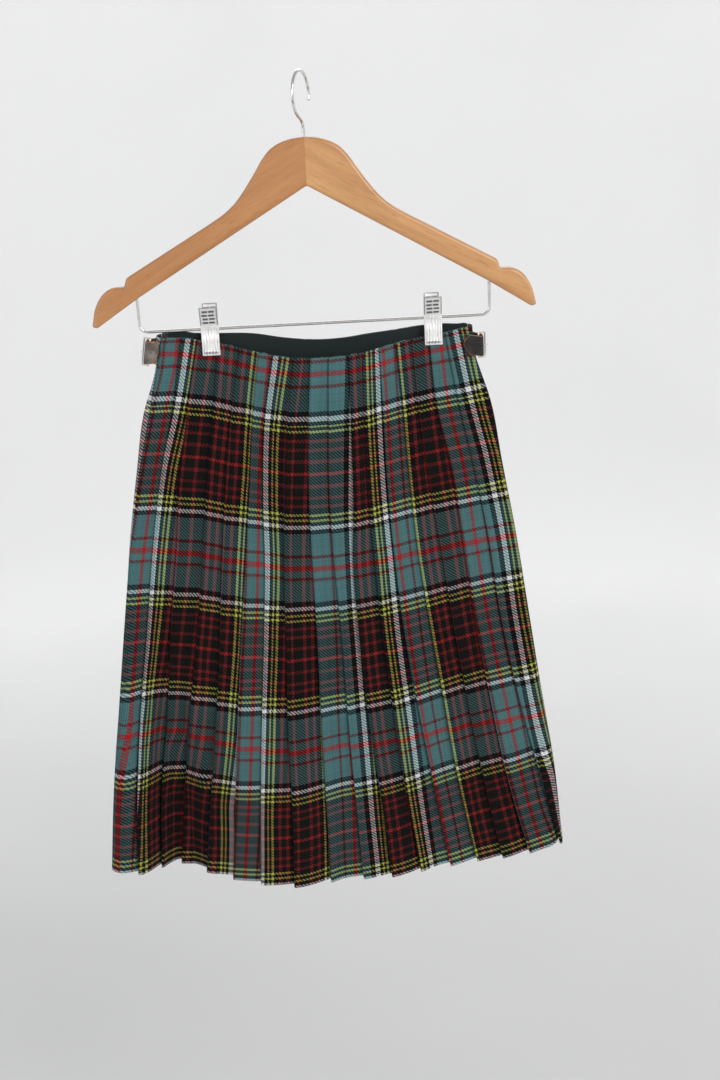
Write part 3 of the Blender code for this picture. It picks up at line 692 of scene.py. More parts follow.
def makeTartan():
    material, tree = newMaterial("tartanWool")
    weave, fuzz = clothWeave(tree, thread=0.0080, fibreSize=1.0)
    warp = useGroup(tree, warpSett, Place=weave["Warp Place"])["Colour"]
    weft = useGroup(tree, weftSett, Place=weave["Weft Place"])["Colour"]
    cloth = mixColour(tree, weave["Warp On Top"], weft, warp)
    # where warp and weft differ, the mix is darkened towards the darker colour: painted shade of the threads
    # on one another, while the upper thread still shows most
    both = gammaNode(tree, mixColour(tree, 1.0, weft, warp, "MULTIPLY"), 0.25)
    shadedCrossing = mixColour(tree, 1.0, gammaNode(tree, cloth, 0.5), both, "MULTIPLY")
    cloth = mixColour(tree, 0.24, shadedCrossing, cloth)
    # the colour is darkened where each thread dips under the next: painted shade of the weave; each thread's
    # own tone, the fibres and the tone noise vary it at random
    level = plus(tree, mapValue(tree, weave["Height"], 0.0, 1.0, 0.36, 1.16),
                 mapValue(tree, weave["Shade"], 0.0, 1.0, -0.16, 0.16),
                 mapValue(tree, fuzz["Fibres"], 0.3, 0.7, -0.14, 0.18),
                 mapValue(tree, fuzz["Tone"], 0.3, 0.7, -0.05, 0.05))
    height = plus(tree, weave["Height"], times(tree, fuzz["Fibres"], 0.9))
    return finishMaterial(
        material, (height, 0.00016, 0.6), Base_Color=shaded(tree, cloth, level),
        Roughness=mapValue(tree, fuzz["Fibres"], 0.3, 0.7, 0.82, 0.96), Specular_IOR_Level=0.08,
        Sheen_Weight=0.03, Sheen_Roughness=0.45, Sheen_Tint=(0.85, 0.92, 0.95))


def makeLining():
    material, tree = newMaterial("liningCotton")
    weave, fuzz = clothWeave(tree, thread=0.0024, fibreSize=0.8)
    tone = mathNode(tree, "ADD", mapValue(tree, fuzz["Tone"], 0.3, 0.7, 0.2, 0.8),
                    mapValue(tree, weave["Shade"], 0.0, 1.0, -0.15, 0.15), clamp=True)
    cloth = mixColour(tree, tone, (0.005, 0.010, 0.011), (0.010, 0.018, 0.018))
    # the colour is darkened where the threads dip under each other: painted shade of the weave
    return finishMaterial(
        material, (plus(tree, weave["Height"], fuzz["Fibres"]), 0.0001, 0.6),
        Base_Color=shaded(tree, cloth, mapValue(tree, weave["Height"], 0.0, 1.0, 0.75, 1.1)),
        Roughness=mapValue(tree, fuzz["Fibres"], 0.3, 0.7, 0.72, 0.9), Specular_IOR_Level=0.3,
        Sheen_Weight=0.12, Sheen_Roughness=0.5)


def makeLeather(name, dark, light, rough, pebbles, rawEdge=1.0):
    material, tree = newMaterial(name)
    grain = useGroup(tree, grainGroup, Vector=objectPlace(tree), Pebbles=pebbles)
    face = mixColour(tree, grain["Worn"], dark, light)
    raw = mixColour(tree, grain["Height"], (0.20, 0.085, 0.03), (0.42, 0.22, 0.10))
    edge = mapValue(tree, rimNode(tree), 0.35, 0.75, 0.0, rawEdge)
    roughness = plus(tree, mapValue(tree, grain["Worn"], 0.0, 1.0, rough, rough + 0.12),
                     times(tree, edge, 0.3))
    return finishMaterial(material, (grain["Height"], 0.00018, 0.7), Roughness=roughness,
                          Base_Color=mixColour(tree, edge, face, raw), Specular_IOR_Level=0.3)


def makeMetal(name, colour, rough, smudge, marked=False):
    material, tree = newMaterial(name)
    wear = useGroup(tree, metalGroup, Vector=objectPlace(tree), Roughness=rough, Smudge=smudge)
    face = mixColour(tree, wear["Dull"], colour, tuple(part * 0.8 for part in colour))
    if marked:
        # painted shade sits in the pressed marks, the flute valleys, the teeth and the turned rim
        face = mixColour(tree, rimNode(tree), face, (0.05, 0.048, 0.05))
    return finishMaterial(material, (wear["Scratch"], 0.00002, 0.3), Base_Color=face,
                          Roughness=wear["Roughness"], Metallic=0.78 if marked else 1.0)


def makeWood():
    material, tree = newMaterial("varnishedBeech")
    place = addNode(tree, "SeparateXYZ", {0: objectPlace(tree)})
    middle, tilt = 0.0008, math.radians(28.5)  # of the hanger in metres, and of its arms
    x = minus(tree, place[0], middle)
    isRight = mathNode(tree, "GREATER_THAN", x)
    out = mathNode(tree, "ABSOLUTE", x)
    # each arm has its own piece of wood, whose grain runs down the arm
    cos, sin = math.cos(tilt), math.sin(tilt)
    lengthwise = plus(tree, minus(tree, times(tree, out, cos), times(tree, place[2], sin)),
                      times(tree, isRight, 3.7))
    crosswise = plus(tree, times(tree, out, sin), times(tree, place[2], cos), times(tree, isRight, 1.3))
    grain = useGroup(tree, woodGroup, Vector=combine(tree, lengthwise, crosswise, place[1]))
    rings = mapValue(tree, grain["Rings"], 0.32, 0.68)
    # painted light: the left arm is coloured paler than the right, as if more light falls on it
    pale = mixColour(tree, rings, (0.66, 0.355, 0.145), (0.50, 0.240, 0.084))
    deep = mixColour(tree, rings, (0.54, 0.250, 0.090), (0.41, 0.168, 0.052))
    wood = mixColour(tree, minus(tree, 1.0, isRight), pale, deep)
    for factor, colour in (
        (mapValue(tree, grain["Tone"], 0.35, 0.7, 0.0, 0.35), (0.42, 0.185, 0.062)),
        (times(tree, grain["Pores"], 0.45), (0.20, 0.075, 0.025)),
        # the glued mitre between the arms
        (mapValue(tree, out, 0.0, 0.0005, 0.22, 0.0), (0.10, 0.04, 0.015)),
    ):
        wood = mixColour(tree, factor, wood, colour)
    return finishMaterial(material, (minus(tree, rings, grain["Pores"]), 0.00006, 0.5), Base_Color=wood,
                          Roughness=mapValue(tree, grain["Rings"], 0.3, 0.7, 0.34, 0.46), Coat_Weight=0.5,
                          Coat_Roughness=0.16)


def makeThread(name, colour):
    material, tree = newMaterial(name)
    fibres = useGroup(tree, fuzzGroup, Vector=objectPlace(tree), Fibre_Size=0.5)["Fibres"]
    light = tuple(min(1.0, part * 1.5) for part in colour)
    return finishMaterial(material, (fibres, 0.00006, 0.5), Base_Color=mixColour(tree, fibres, colour, light),
                          Roughness=mapValue(tree, fibres, 0.3, 0.7, 0.6, 0.8))


tartanWool = makeTartan()
liningCotton = makeLining()
tabLeathers = {
    "right": makeLeather("tabLeatherDark", (0.020, 0.010, 0.010), (0.060, 0.026, 0.024), 0.5, 900.0, 0.15),
    "left": makeLeather("tabLeatherTan", (0.120, 0.050, 0.024), (0.300, 0.150, 0.075), 0.55, 900.0),
}
strapLeathers = {
    "right": makeLeather("strapLeatherDark", (0.016, 0.013, 0.012), (0.040, 0.032, 0.028), 0.6, 1000.0),
    # the left strap is the same black leather as the right, coloured light grey: a painted sheen of light off
    # its face
    "left": makeLeather("strapLeatherPaintedSheen", (0.100, 0.078, 0.064), (0.245, 0.215, 0.195), 0.48, 1000.0),
}
brightWire = makeMetal("brightWire", (0.74, 0.73, 0.71), 0.07, 0.12)
clipPlateMetal = makeMetal("clipPlateMetal", (0.90, 0.895, 0.885), 0.38, 0.10, marked=True)
springWire = makeMetal("springWire", (0.60, 0.59, 0.57), 0.25, 0.15)
buckleWire = makeMetal("buckleWire", (0.78, 0.76, 0.72), 0.28, 0.15)
beech = makeWood()
darkThread = makeThread("darkThread", (0.012, 0.012, 0.013))
print("materials:", len(bpy.data.materials))


pleatChart = {
    # where the sett stands at each outer fold, in thread widths from the middle of a blue-green stripe
    "shares": (0.0, 0.22, 0.48, 0.65, 0.80, 1.0),
    "before": (-40.0, -40.0, -40.0, -40.0, -40.0, -40.0),
    "atFolds": (
        (-15.5, -14.1, -9.4, -6.6, -6.6, -6.4),
        (36.1, 41.2, 41.7, 42.5, 43.7, 48.4),
        (81.0, 80.0, 82.0, 84.6, 87.0, 89.0),
        (57.0, 57.0, 56.5, 56.0, 55.8, 55.8),
        (-67.2, -70.4, -68.8, -67.6, -67.4, -66.6),
        (-10.8, -9.0, -14.4, -14.0, -14.0, -13.0),
        (38.5, 39.5, 41.2, 41.2, 41.6, 42.4),
        (-89.5, -88.8, -88.1, -87.5, -87.0, -86.5),
        (-30.5, -30.5, -31.0, -30.6, -31.2, -30.3),
        (20.5, 22.0, 28.0, 27.4, 27.4, 27.8),
        (57.0, 57.0, 54.8, 55.4, 56.4, 57.4),
        (-58.0, -59.4, -58.5, -58.2, -57.2, -56.2),
        (-3.5, -4.5, -5.3, -3.3, -2.4, -1.0),
        (50.8, 53.0, 52.6, 52.2, 52.6, 52.8),
        (-81.7, -81.7, -81.7, -81.7, -81.7, -81.7),
        (-10.2, -12.0, -12.8, -14.0, -14.0, -14.0),
        (33.8, 29.5, 29.0, 31.0, 34.2, 38.0),
    ),
    "threadWide": 1.0675,  # millimetres to one unit of the sett, across
    "weftTop": -15.35,  # the sett at the waist edge
    "weftRun": 559.0,  # and how much of it the length takes
    "rows": 82,
    "facePoints": 13,
    "hiddenPoints": 4,
    "roundPoints": 5,
    "foldReach": 1.0,
    "widest": 34.0,  # face that an underlay is counted from
    "stepVariation": (  # of each pleat at the hem
        0.0, 0.4, -0.5, 0.6, -0.2, 0.3, -0.6, 0.5, 0.1, -0.3, 0.6, -0.4, 0.2, 0.5, -0.5, 0.3, 0.0,
    ),
    "seamPoints": 15,
    "faceSlope": 0.86,  # how straight a face goes down under the next one; 1 is straight
}


def roundEnd(tip, reach, lowOut, highOut, towardsTip):
    # half a turn of cloth round a fold, from one layer to the next
    angles = np.linspace(-math.pi / 2, math.pi / 2, pleatChart["roundPoints"] + 2)
    radius = (highOut - lowOut) / 2
    along = tip - towardsTip * reach + towardsTip * reach * np.cos(angles)
    return list(zip(along, (lowOut + highOut) / 2 + radius * np.sin(angles)))


def pleatRow(share):
    section = sectionAt(share)
    openShare = openedOut(share)
    step = between(skirtForm["pleatStep"], openShare)
    gap = between(skirtForm["foldOpen"], openShare)
    layer = skirtForm["layer"]
    under = min(step - 2 * layer, skirtForm["under"] * step)
    lift = skirtForm["hemLift"] * openShare
    reach = pleatChart["foldReach"]
    foldX, foldZ = foldsAt(share)
    folds = alongAt(section, foldX, step)
    start = section["leftAt"] - seamShift(share) + skirtForm["seamGap"] / 2
    end = section["rightAt"] + seamShift(share) - skirtForm["seamGap"] / 2
    ends = np.append(folds, end)
    # rows of (distance along, distance out, raised), from the left seam to the first fold
    path = [(between((start, folds[0]), part), between((layer, under), part), lift * part)
            for part in np.linspace(0.0, 1.0, pleatChart["seamPoints"] + 1)[:-1]]
    anchors = [len(path)]  # each outer fold, where the sett's place is known
    jumps = []  # each inner fold, where the sett starts again
    parts = np.linspace(0.0, 1.0, pleatChart["hiddenPoints"] + 1)
    for k, fold in enumerate(folds):
        isLast = k == len(folds) - 1
        inner = fold + skirtForm["underlay"] * min(ends[k + 1] - fold, pleatChart["widest"])
        top = step + pleatChart["stepVariation"][k] * openShare
        path += [(between((fold, inner - reach), part), under * (1 - part), lift) for part in parts[:-1]]
        turning = roundEnd(inner, reach, 0.0, gap, 1.0)
        jumps.append(len(path) + len(turning) // 2)
        path += [(along, out, lift) for along, out in turning]
        path += [(between((inner - reach, fold + reach), part), between((gap, top - gap), part),
                  lift * (1 - part)) for part in parts[1:-1]]
        turning = roundEnd(fold, reach, top - gap, top, -1.0)
        anchors.append(len(path) + len(turning) // 2)
        path += [(along, out, 0.0) for along, out in turning]
        low, raised, count = (0.0, 0.0, 2) if isLast else (under, lift, 1)
        faceStart = fold + reach
        for part in np.linspace(0.0, 1.0, count * pleatChart["facePoints"] + 1)[1:None if isLast else -1]:
            dip = part * between((pleatChart["faceSlope"], 1.0), part)
            path.append((between((faceStart, ends[k + 1]), part), between((top, low), dip), raised * part))
    along, out, raised = np.array(path).T
    sides = apronHeight(placeOn(section, [start, end], 0.0)[:, 0], share)
    z = np.interp(along, [start, *folds, end], [sides[0], *foldZ, sides[1]])
    row = np.column_stack([placeOn(section, along, out), z + raised])
    # the sett along the row, restarted inside every fold
    walked = walkedAlong(np.column_stack([along, out])) / pleatChart["threadWide"]
    places = [np.interp(share, pleatChart["shares"], item)
              for item in (pleatChart["before"], *pleatChart["atFolds"])]
    before, after = np.zeros((2, len(along)))
    bounds = [0] + jumps + [len(along) - 1]
    for place, anchor, low, high in zip(places, anchors, bounds, bounds[1:]):
        reading = place + walked - walked[anchor]
        after[low:high] = reading[low:high]
        before[low + 1:high + 1] = reading[low + 1:high + 1]
    before[0] = after[0]
    after[-1] = before[-1]
    return row, before / 100.0, after / 100.0


def setRows(count):
    # evenly spaced shares of the length, with one more close to each edge
    shares = np.linspace(0.0, 1.0, count)
    return np.concatenate([[0.0, 0.0012], shares[1:-1], [0.9988, 1.0]])


def weftAt(share):
    return (pleatChart["weftTop"] + pleatChart["weftRun"] * share) / 100.0


def makePleats():
    shares = setRows(pleatChart["rows"])
    rows, before, after = zip(*(pleatRow(share) for share in shares))
    front, back = bothFaces(rows, skirtForm["thick"])
    thin = skirtForm["rimDraw"][0]
    drawIn(front, back, [(0, thin), (-1, thin)])
    piece = closedShell("pleatedPanel", front, back, tartanWool, (before, after, shares), 60.0)
    widths = [walkedAlong(row)[-1] for row in ((front + back) / 2)[[0, -1]]]
    print("pleated panel:", len(piece.data.polygons), "faces, cloth width waist", round(widths[0]), "hem",
          round(widths[1]))
    return standIn(piece, "pleated_back")


pleatedPanel = makePleats()


apronForm = {
    "columns": 150,
    "rows": 60,
    "liningDeep": 60.0,
    "liningRows": 16,
    "liningThick": 0.9,
    "shift": 33.0,  # of the sett across the aprons
    "overEdge": 2.5,  # from the right seam to the over apron's free edge
    "underEdge": 6.0,  # from the left seam to the under apron's free edge
    "liningEdges": (1.5, 7.5),
    "fineEdge": 8.0,  # how far in from each edge the columns stand closer
}


def apronRow(share, out, rightEdge, leftEdge):
    section = sectionAt(share)
    start = section["rightAt"] + seamShift(share) + rightEdge
    end = section["total"] + section["leftAt"] - seamShift(share) - leftEdge
    finer = apronForm["fineEdge"]
    along = np.concatenate([
        start + np.array([0.0, 0.35, 1.0]), np.linspace(start + 2.0, start + finer, 9),
        np.linspace(start + finer, end - finer, apronForm["columns"])[1:-1],
        np.linspace(end - finer, end - 2.0, 9), end - np.array([1.0, 0.35, 0.0]),
    ])
    points = placeOn(section, along, out)
    row = np.column_stack([points, apronHeight(points[:, 0], share)])
    # the outline starts and ends in the aprons' middle
    return row, ((along - section["total"]) / pleatChart["threadWide"] + apronForm["shift"]) / 100.0


def makeApron(name, node, slot, shares, thick, material, out, rightEdge, leftEdge):
    rows, across = zip(*(apronRow(share, out, rightEdge, leftEdge) for share in shares))
    front, back = bothFaces(rows, thick)
    thin, sideThin = skirtForm["rimDraw"]
    drawIn(front, back, [(np.s_[:, 0], sideThin), (np.s_[:, -1], sideThin), (0, thin), (-1, thin)])
    piece = closedShell(name, front, back, material, (across, across, shares), 60.0)
    print(name + ":", len(piece.data.polygons), "faces")
    return standIn(piece, node)


layer = skirtForm["layer"]
gapHalf = skirtForm["seamGap"] / 2
tartanCloth = ("tartan", setRows(apronForm["rows"]), skirtForm["thick"], tartanWool)
bandShares = np.linspace(0.0, 1.0, apronForm["liningRows"]) * apronForm["liningDeep"] / skirtForm["length"]
overApron = makeApron("overApron", "over_apron", *tartanCloth, layer, apronForm["overEdge"], gapHalf)
underApron = makeApron("underApron", "under_apron", *tartanCloth, 0.0, gapHalf, apronForm["underEdge"])
liningCloth = ("lining", bandShares, apronForm["liningThick"], liningCotton)
liningBand = makeApron("liningBand", "waist_lining", *liningCloth, -layer, *apronForm["liningEdges"])


hangerForm = {
    "middle": 0.8,
    "thick": 12.0,
    "round": 3.4,
    "half": (  # half outline: distance from the middle, height
        (0, -59), (12, -60.2), (22, -62.9), (33, -69), (41.5, -78.2), (49, -89.5), (57, -101), (65, -111.7),
        (73, -120.5), (82, -127.8), (94, -135.3), (182.5, -184.7), (185.2, -193.6), (190.5, -193.2),
        (198, -194),
        (206.5, -198.8), (214.5, -210), (220.5, -231), (215.5, -232.5), (172, -204.5), (0, -104.8),
    ),
    "spacing": 1.1,
    "softening": 3,  # passes that round the corners
}


def spreadPoints(points, spacing, closed=False):
    # the same line with points at even distances
    points = np.asarray(points, float)
    if closed:
        points = np.concatenate([points, points[:1]])
    walked = walkedAlong(points)
    count = max(2, int(round(walked[-1] / spacing)))
    spread = readAt(np.linspace(0.0, walked[-1], count + 1), walked, points)
    return spread[:-1] if closed else spread


def smoothRun(points, spacing):
    # a smooth curve through the points of one run
    points = np.asarray(points, float)
    walked = walkedAlong(points)
    at = np.linspace(0.0, walked[-1], max(3, int(walked[-1] / spacing)))
    return np.stack([curveThrough(walked, column, at) for column in points.T], axis=1)


def insetRing(ring, by):
    # a closed outline that runs clockwise, moved inwards
    return ring + sideways(unit(np.roll(ring, -1, axis=0) - np.roll(ring, 1, axis=0))) * by


def makeHangerWood():
    half, thick, bend = hangerForm["half"], hangerForm["thick"] / 2, hangerForm["round"]
    # smooth and straight runs between the outline's corners
    right = smoothRun(half[:11], hangerForm["spacing"])
    for maker, low, high in ((spreadPoints, 10, 12), (spreadPoints, 11, 13), (smoothRun, 12, 18),
                             (spreadPoints, 17, 19), (spreadPoints, 18, 21)):
        right = np.concatenate([right, maker(half[low:high], hangerForm["spacing"])[1:]])
    outline = np.concatenate([right, right[1:-1][::-1] * (-1.0, 1.0)])
    outline = softened(outline, hangerForm["softening"], closed=True) + (hangerForm["middle"], 0.0)
    levels = [(bend - thick + bend * math.sin(angle), bend * (1 - math.cos(angle)))
              for angle in np.radians(np.linspace(-90.0, 0.0, 7))]
    levels += [(-y, inset) for y, inset in levels[::-1]]
    rings = []
    for y, inset in levels:
        ring = softened(insetRing(outline, inset), int(inset * 2), closed=True)
        rings.append(np.column_stack([ring[:, 0], np.full(len(ring), y), ring[:, 1]]))
    faces = gridFaces(len(rings), len(outline))
    # the flat faces are filled with triangles, because the outline is hollow below
    last = (len(rings) - 1) * len(outline)
    for a, b, c in tessellate_polygon([[Vector((x, z, 0.0)) for x, _, z in rings[0]]]):
        faces += [(a, c, b), (last + a, last + b, last + c)]
    piece = linkMesh("hangerWood", np.concatenate(rings), faces, beech, sharp=80.0)
    print("hanger wood:", len(piece.data.polygons), "faces")
    standIn(piece, "hanger_wood")


makeHangerWood()


wireForm = {
    "hookRadius": 1.6,
    "hookLoop": 22.0,
    "hookTurn": 19.5,
    "hookRoot": -80.0,
    "hookNeck": ((0.0, -62.0), (0.0, -55.0), (0.0, -51.0), (-1.0, -46.4), (-4.6, -42.8)),
    "hookSweep": (245.0, -14.0),  # where the loop starts and ends, in degrees
    "barRadius": 1.5,
    "barHalf": 174.0,
    "barZ": -239.1,
    "barCorner": 8.0,
    "barTop": -193.0,
}


def arcPoints(centre, radius, start, end, count):
    angles = np.radians(np.linspace(start, end, count))
    return np.column_stack([centre[0] + radius * np.cos(angles), centre[1] + radius * np.sin(angles)])


def ringRound(place, size, first, second, sides):
    angles = np.linspace(0.0, 2 * math.pi, sides, endpoint=False)
    return place + size * (np.cos(angles)[:, None] * first + np.sin(angles)[:, None] * second)


def makeTube(name, path, radius, sides, material, closed=False):
    path = np.asarray(path, float)
    run = unit(np.roll(path, -1, axis=0) - np.roll(path, 1, axis=0) if closed else np.gradient(path, axis=0))
    radii = np.full(len(path), float(radius))
    if not closed:
        # rounded ends
        caps = np.array([0.0, 0.38, 0.71, 0.92])
        reach = radius * np.sqrt(1 - caps ** 2)[:, None]
        path = np.concatenate([path[0] - run[0] * reach, path, (path[-1] + run[-1] * reach)[::-1]])
        run = np.concatenate([np.repeat(run[:1], 4, axis=0), run, np.repeat(run[-1:], 4, axis=0)])
        radii = np.concatenate([radius * caps, radii, radius * caps[::-1]])
        radii = np.maximum(radii, radius * 0.12)
    seed = np.array([0.0, 0.0, 1.0]) if abs(run[0][2]) < 0.9 else np.array([1.0, 0.0, 0.0])
    points = []
    # each ring starts beside the start of the last one, so the tube doesn't twist
    for place, way, size in zip(path, run, radii):
        first = seed - way * np.dot(seed, way)
        seed = first = first / np.linalg.norm(first)
        points.append(ringRound(place, size, first, np.cross(way, first), sides))
    faces = gridFaces(len(path), sides, closed=closed)
    if not closed:
        faces += capFaces(len(path), sides)
    return linkMesh(name, np.concatenate(points), faces, material, sharp=60.0)


def makeHook():
    radius, loopRadius, middle = wireForm["hookRadius"], wireForm["hookLoop"], hangerForm["middle"]
    turnAngle = math.radians(wireForm["hookTurn"])
    loop = arcPoints((0.0, radius - loopRadius), loopRadius, *wireForm["hookSweep"], 90)
    flat = np.concatenate([[(0.0, wireForm["hookRoot"])], smoothRun(wireForm["hookNeck"], 0.9), loop[1:]])
    x, z = softened(spreadPoints(flat, 1.0), 6).T
    # the shank stands in the wood's middle, and the loop over the part's origin
    lean = middle - middle * np.clip((z + 60.0) / 40.0, 0.0, 1.0)
    path = np.column_stack([lean + x * math.sin(turnAngle), x * math.cos(turnAngle), z])
    standIn(makeTube("hangerHook", path, radius, 20, brightWire), "hanger_hook")


def makeBar():
    left, right = (hangerForm["middle"] + side * wireForm["barHalf"] for side in (-1, 1))
    corner, base, top = wireForm["barCorner"], wireForm["barZ"], wireForm["barTop"]
    low = base + corner
    path = np.concatenate([
        spreadPoints([(left, top), (left, low)], 3.0)[:-1],
        arcPoints((left + corner, low), corner, 180.0, 270.0, 14),
        spreadPoints([(left + corner, base), (right - corner, base)], 12.0)[1:-1],
        arcPoints((right - corner, low), corner, 270.0, 360.0, 14),
        spreadPoints([(right, low), (right, top)], 3.0)[1:],
    ])
    path = np.column_stack([path[:, 0], np.zeros(len(path)), path[:, 1]])
    standIn(makeTube("trouserBar", path, wireForm["barRadius"], 20, brightWire), "trouser_bar")


makeHook()
makeBar()
print("wires: hook and bar")


clipForm = {
    "clips": (("left", -103.5, -215.5), ("right", 118.0, -216.5)),  # middle, top
    "wide": 17.0,
    "tall": 49.0,
    "sheet": 1.0,
    "profile": ((0.0, 12.5), (7.0, 11.4), (14.0, 8.6), (19.0, 6.6), (25.5, 6.6), (27.3, 6.6)),
    "ears": ((0.0, 17.6, 18.8, 25.7, 26.9, 49.0), (0.0, 0.0, 1.0, 1.0, 0.0, 0.0)),  # down, how full
    "corner": 0.8,
    "backNarrower": 1.4,
    "gripFrom": 33.0,
    "gap": 0.3,  # to the cloth
    "edgeTurn": 0.9,
    "earEnd": 2.2,  # short of the jaws' middle
    "crown": 0.35,
    "spacing": 0.36,
    "across": 57,
    "softening": 14,
    "rimShade": 0.6,
    "dashes": {"rows": (4.6, 8.4, 12.2, 16.0), "places": (-3.5, 3.1), "half": 2.6, "tall": 0.75, "high": 0.55,
               "shade": 0.9},
    "dots": {"down": 20.0, "places": (-5.4, -2.7, 0.0, 2.7, 5.4), "size": 0.8, "high": 0.35},
    "flutes": {"from": 22.0, "to": 43.0, "step": 2.75, "deep": 0.42, "shade": 0.62},
    "teeth": {"down": 44.3, "step": 3.1, "deep": 0.75, "shade": 0.75},
    "spring": {"radius": 2.85, "wire": 0.55, "long": 8.6, "turns": 5.5},
}


def fadeOut(value, low, high):
    return 1 - ease(value, low, high)


def fluteTurn(across, downward):
    # how far round the flutes' wave is here; they waver a little
    bend = 0.25 * np.sin(downward * 0.33 + across * 0.4)
    return 2 * math.pi * (across + bend) / clipForm["flutes"]["step"]


def toothAt(across):
    return np.abs(np.mod(across / clipForm["teeth"]["step"] + 0.5, 1.0) - 0.5) * 2


def markShade(across, downward, half):
    # painted shade: how dark the plate is made in its pressed marks, flute valleys and teeth, and at its rim
    marks, flutes, teeth = clipForm["dashes"], clipForm["flutes"], clipForm["teeth"]
    shade = np.zeros(np.broadcast(across, downward).shape)
    for k, row in enumerate(marks["rows"]):
        for place in marks["places"]:
            middle = place + 0.3 * math.sin(2.1 * k + place)
            inside = fadeOut(np.abs(across - middle), marks["half"] - 0.2, marks["half"] + 0.9)
            inside = inside * fadeOut(np.abs(downward - row + 0.02 * across), 0.55, marks["tall"] + 0.8)
            shade = np.maximum(shade, marks["shade"] * inside)
    # the turned rim of the upper plate stays in shadow
    rim = np.maximum(ease(np.abs(across), half - 1.5, half - 0.5), fadeOut(downward, 0.7, 1.6))
    shade = np.maximum(shade, clipForm["rimShade"] * rim * fadeOut(downward, 17.5, 19.0))
    inRange = fadeOut(np.abs(across), half - 1.6, half - 0.9)
    zone = ease(downward, flutes["from"] - 1.0, flutes["from"] + 2.5)
    valley = 0.5 - 0.5 * np.cos(fluteTurn(across, downward))
    uneven = 0.55 + 0.45 * np.sin(1.7 * np.round(across / flutes["step"]) + 0.11 * downward)
    shade = np.maximum(shade, flutes["shade"] * valley**5 * uneven * zone * inRange)
    tip = teeth["down"] + 2.6 * (1 - toothAt(across))
    low = ease(downward, tip - 1.0, tip + 0.6) * fadeOut(downward, teeth["down"] + 2.2, teeth["down"] + 3.4)
    return np.maximum(shade, teeth["shade"] * low * inRange)


def emboss(across, downward, half):
    # how far the pressed marks stand out of the plate
    marks, dots, flutes, teeth = (clipForm[name] for name in ("dashes", "dots", "flutes", "teeth"))
    out = np.zeros(np.broadcast(across, downward).shape)
    for row in marks["rows"]:
        for place in marks["places"]:
            inside = fadeOut(np.abs(across - place), marks["half"] - 0.5, marks["half"] + 0.25)
            inside = inside * fadeOut(np.abs(downward - row), marks["tall"] - 0.35, marks["tall"] + 0.35)
            out = out - marks["high"] * inside
    for place in dots["places"]:
        far = np.hypot(across - place, downward - dots["down"])
        out = out + dots["high"] * fadeOut(far, 0.2, dots["size"])
    zone = ease(downward, flutes["from"], flutes["from"] + 2.0)
    zone = zone * fadeOut(downward, flutes["to"] - 1.2, flutes["to"])
    wave = 0.5 + 0.5 * np.cos(fluteTurn(across, downward))
    out = out - flutes["deep"] * (1 - wave**1.5) * zone * fadeOut(np.abs(across), half - 2.2, half - 1.2)
    tooth = toothAt(across)
    spot = fadeOut(np.abs(downward - teeth["down"] + 0.5), 0.2, 1.4 - 1.1 * (1 - tooth))
    return out - teeth["deep"] * spot * tooth * fadeOut(np.abs(across), half - 1.6, half - 0.9)


def makeJaw(name, node, x, top, side, grip):
    # one bent and pressed plate; side is -1 in front of the cloth and +1 behind it
    tall, corner = clipForm["tall"], clipForm["corner"]
    half = clipForm["wide"] / 2 - (0.0 if side < 0 else clipForm["backNarrower"])
    fine = np.append(np.arange(0.0, tall, clipForm["spacing"]), tall)
    downs, outs = np.transpose([*clipForm["profile"], (clipForm["gripFrom"], grip), (tall, grip)])
    path = softened(np.interp(fine, downs, outs), clipForm["softening"])
    edge = clipForm["edgeTurn"]
    reach = edge + (path - clipForm["earEnd"] - edge) * np.interp(fine, *clipForm["ears"])
    flat = np.linspace(-half + corner, half - corner, clipForm["across"])[1:-1]
    turns = np.radians(np.linspace(0.0, 90.0, 5))
    grid = []
    for out, back in zip(path, reach):
        level = out - corner
        returns = [level - max(back - corner, 0.0) * part for part in (1.0, 0.66, 0.33)]
        line = [(-half, low) for low in returns]
        line += [(-half + corner - corner * math.cos(a), level + corner * math.sin(a)) for a in turns]
        line += [(dx, out + clipForm["crown"] * (1 - (dx / half) ** 2)) for dx in flat]
        line += [(half - corner + corner * math.sin(a), level + corner * math.cos(a)) for a in turns]
        grid.append(line + [(half, low) for low in returns[::-1]])
    across, out = np.moveaxis(np.array(grid), 2, 0)
    downward = fine[:, None]
    out = out + emboss(across, downward, half) * fadeOut(np.abs(across), half - 0.9, half - 0.2)
    points = np.stack([x + across, side * out, np.broadcast_to(top - downward, across.shape)], axis=2)
    shade = markShade(across, downward, half)
    shade[0] = clipForm["rimShade"]
    if side > 0:
        points, shade = points[:, ::-1], shade[:, ::-1]
    front, back = bothFaces(points, clipForm["sheet"] * 0.9)
    drawIn(front, back, [(0, 0.5), (-1, 0.5)])
    piece = closedShell(name, front, back, clipPlateMetal, sharp=42.0, rimMask=shade)
    standIn(piece, node)


def makeSpring(name, node, x):
    spring = clipForm["spring"]
    angle = np.linspace(0.0, 2 * math.pi * spring["turns"], int(spring["turns"] * 22))
    along = np.linspace(-spring["long"] / 2, spring["long"] / 2, len(angle))
    path = np.column_stack([
        x + along, spring["radius"] * np.cos(angle), wireForm["barZ"] + spring["radius"] * np.sin(angle),
    ])
    standIn(makeTube(name, path, spring["wire"], 10, springWire), node)


def clothReach(xs, zs, side):
    # how far the cloth stands out over these places: side -1 for the pleats, +1 for the over apron
    found = [0.0]
    for x in xs:
        for z in zs:
            share = max(0.0, (float(waistHeight(x, 1)) - z) / skirtForm["length"])
            row = pleatRow(share) if side < 0 else apronRow(share, layer, apronForm["overEdge"], gapHalf)
            for face in twoFaces(row[0], skirtForm["thick"]):
                low, high = (pick(face[:-1, 0], face[1:, 0]) for pick in (np.minimum, np.maximum))
                found += list(side * face[:-1, 1][(low <= x) & (high >= x)])
    return max(found)


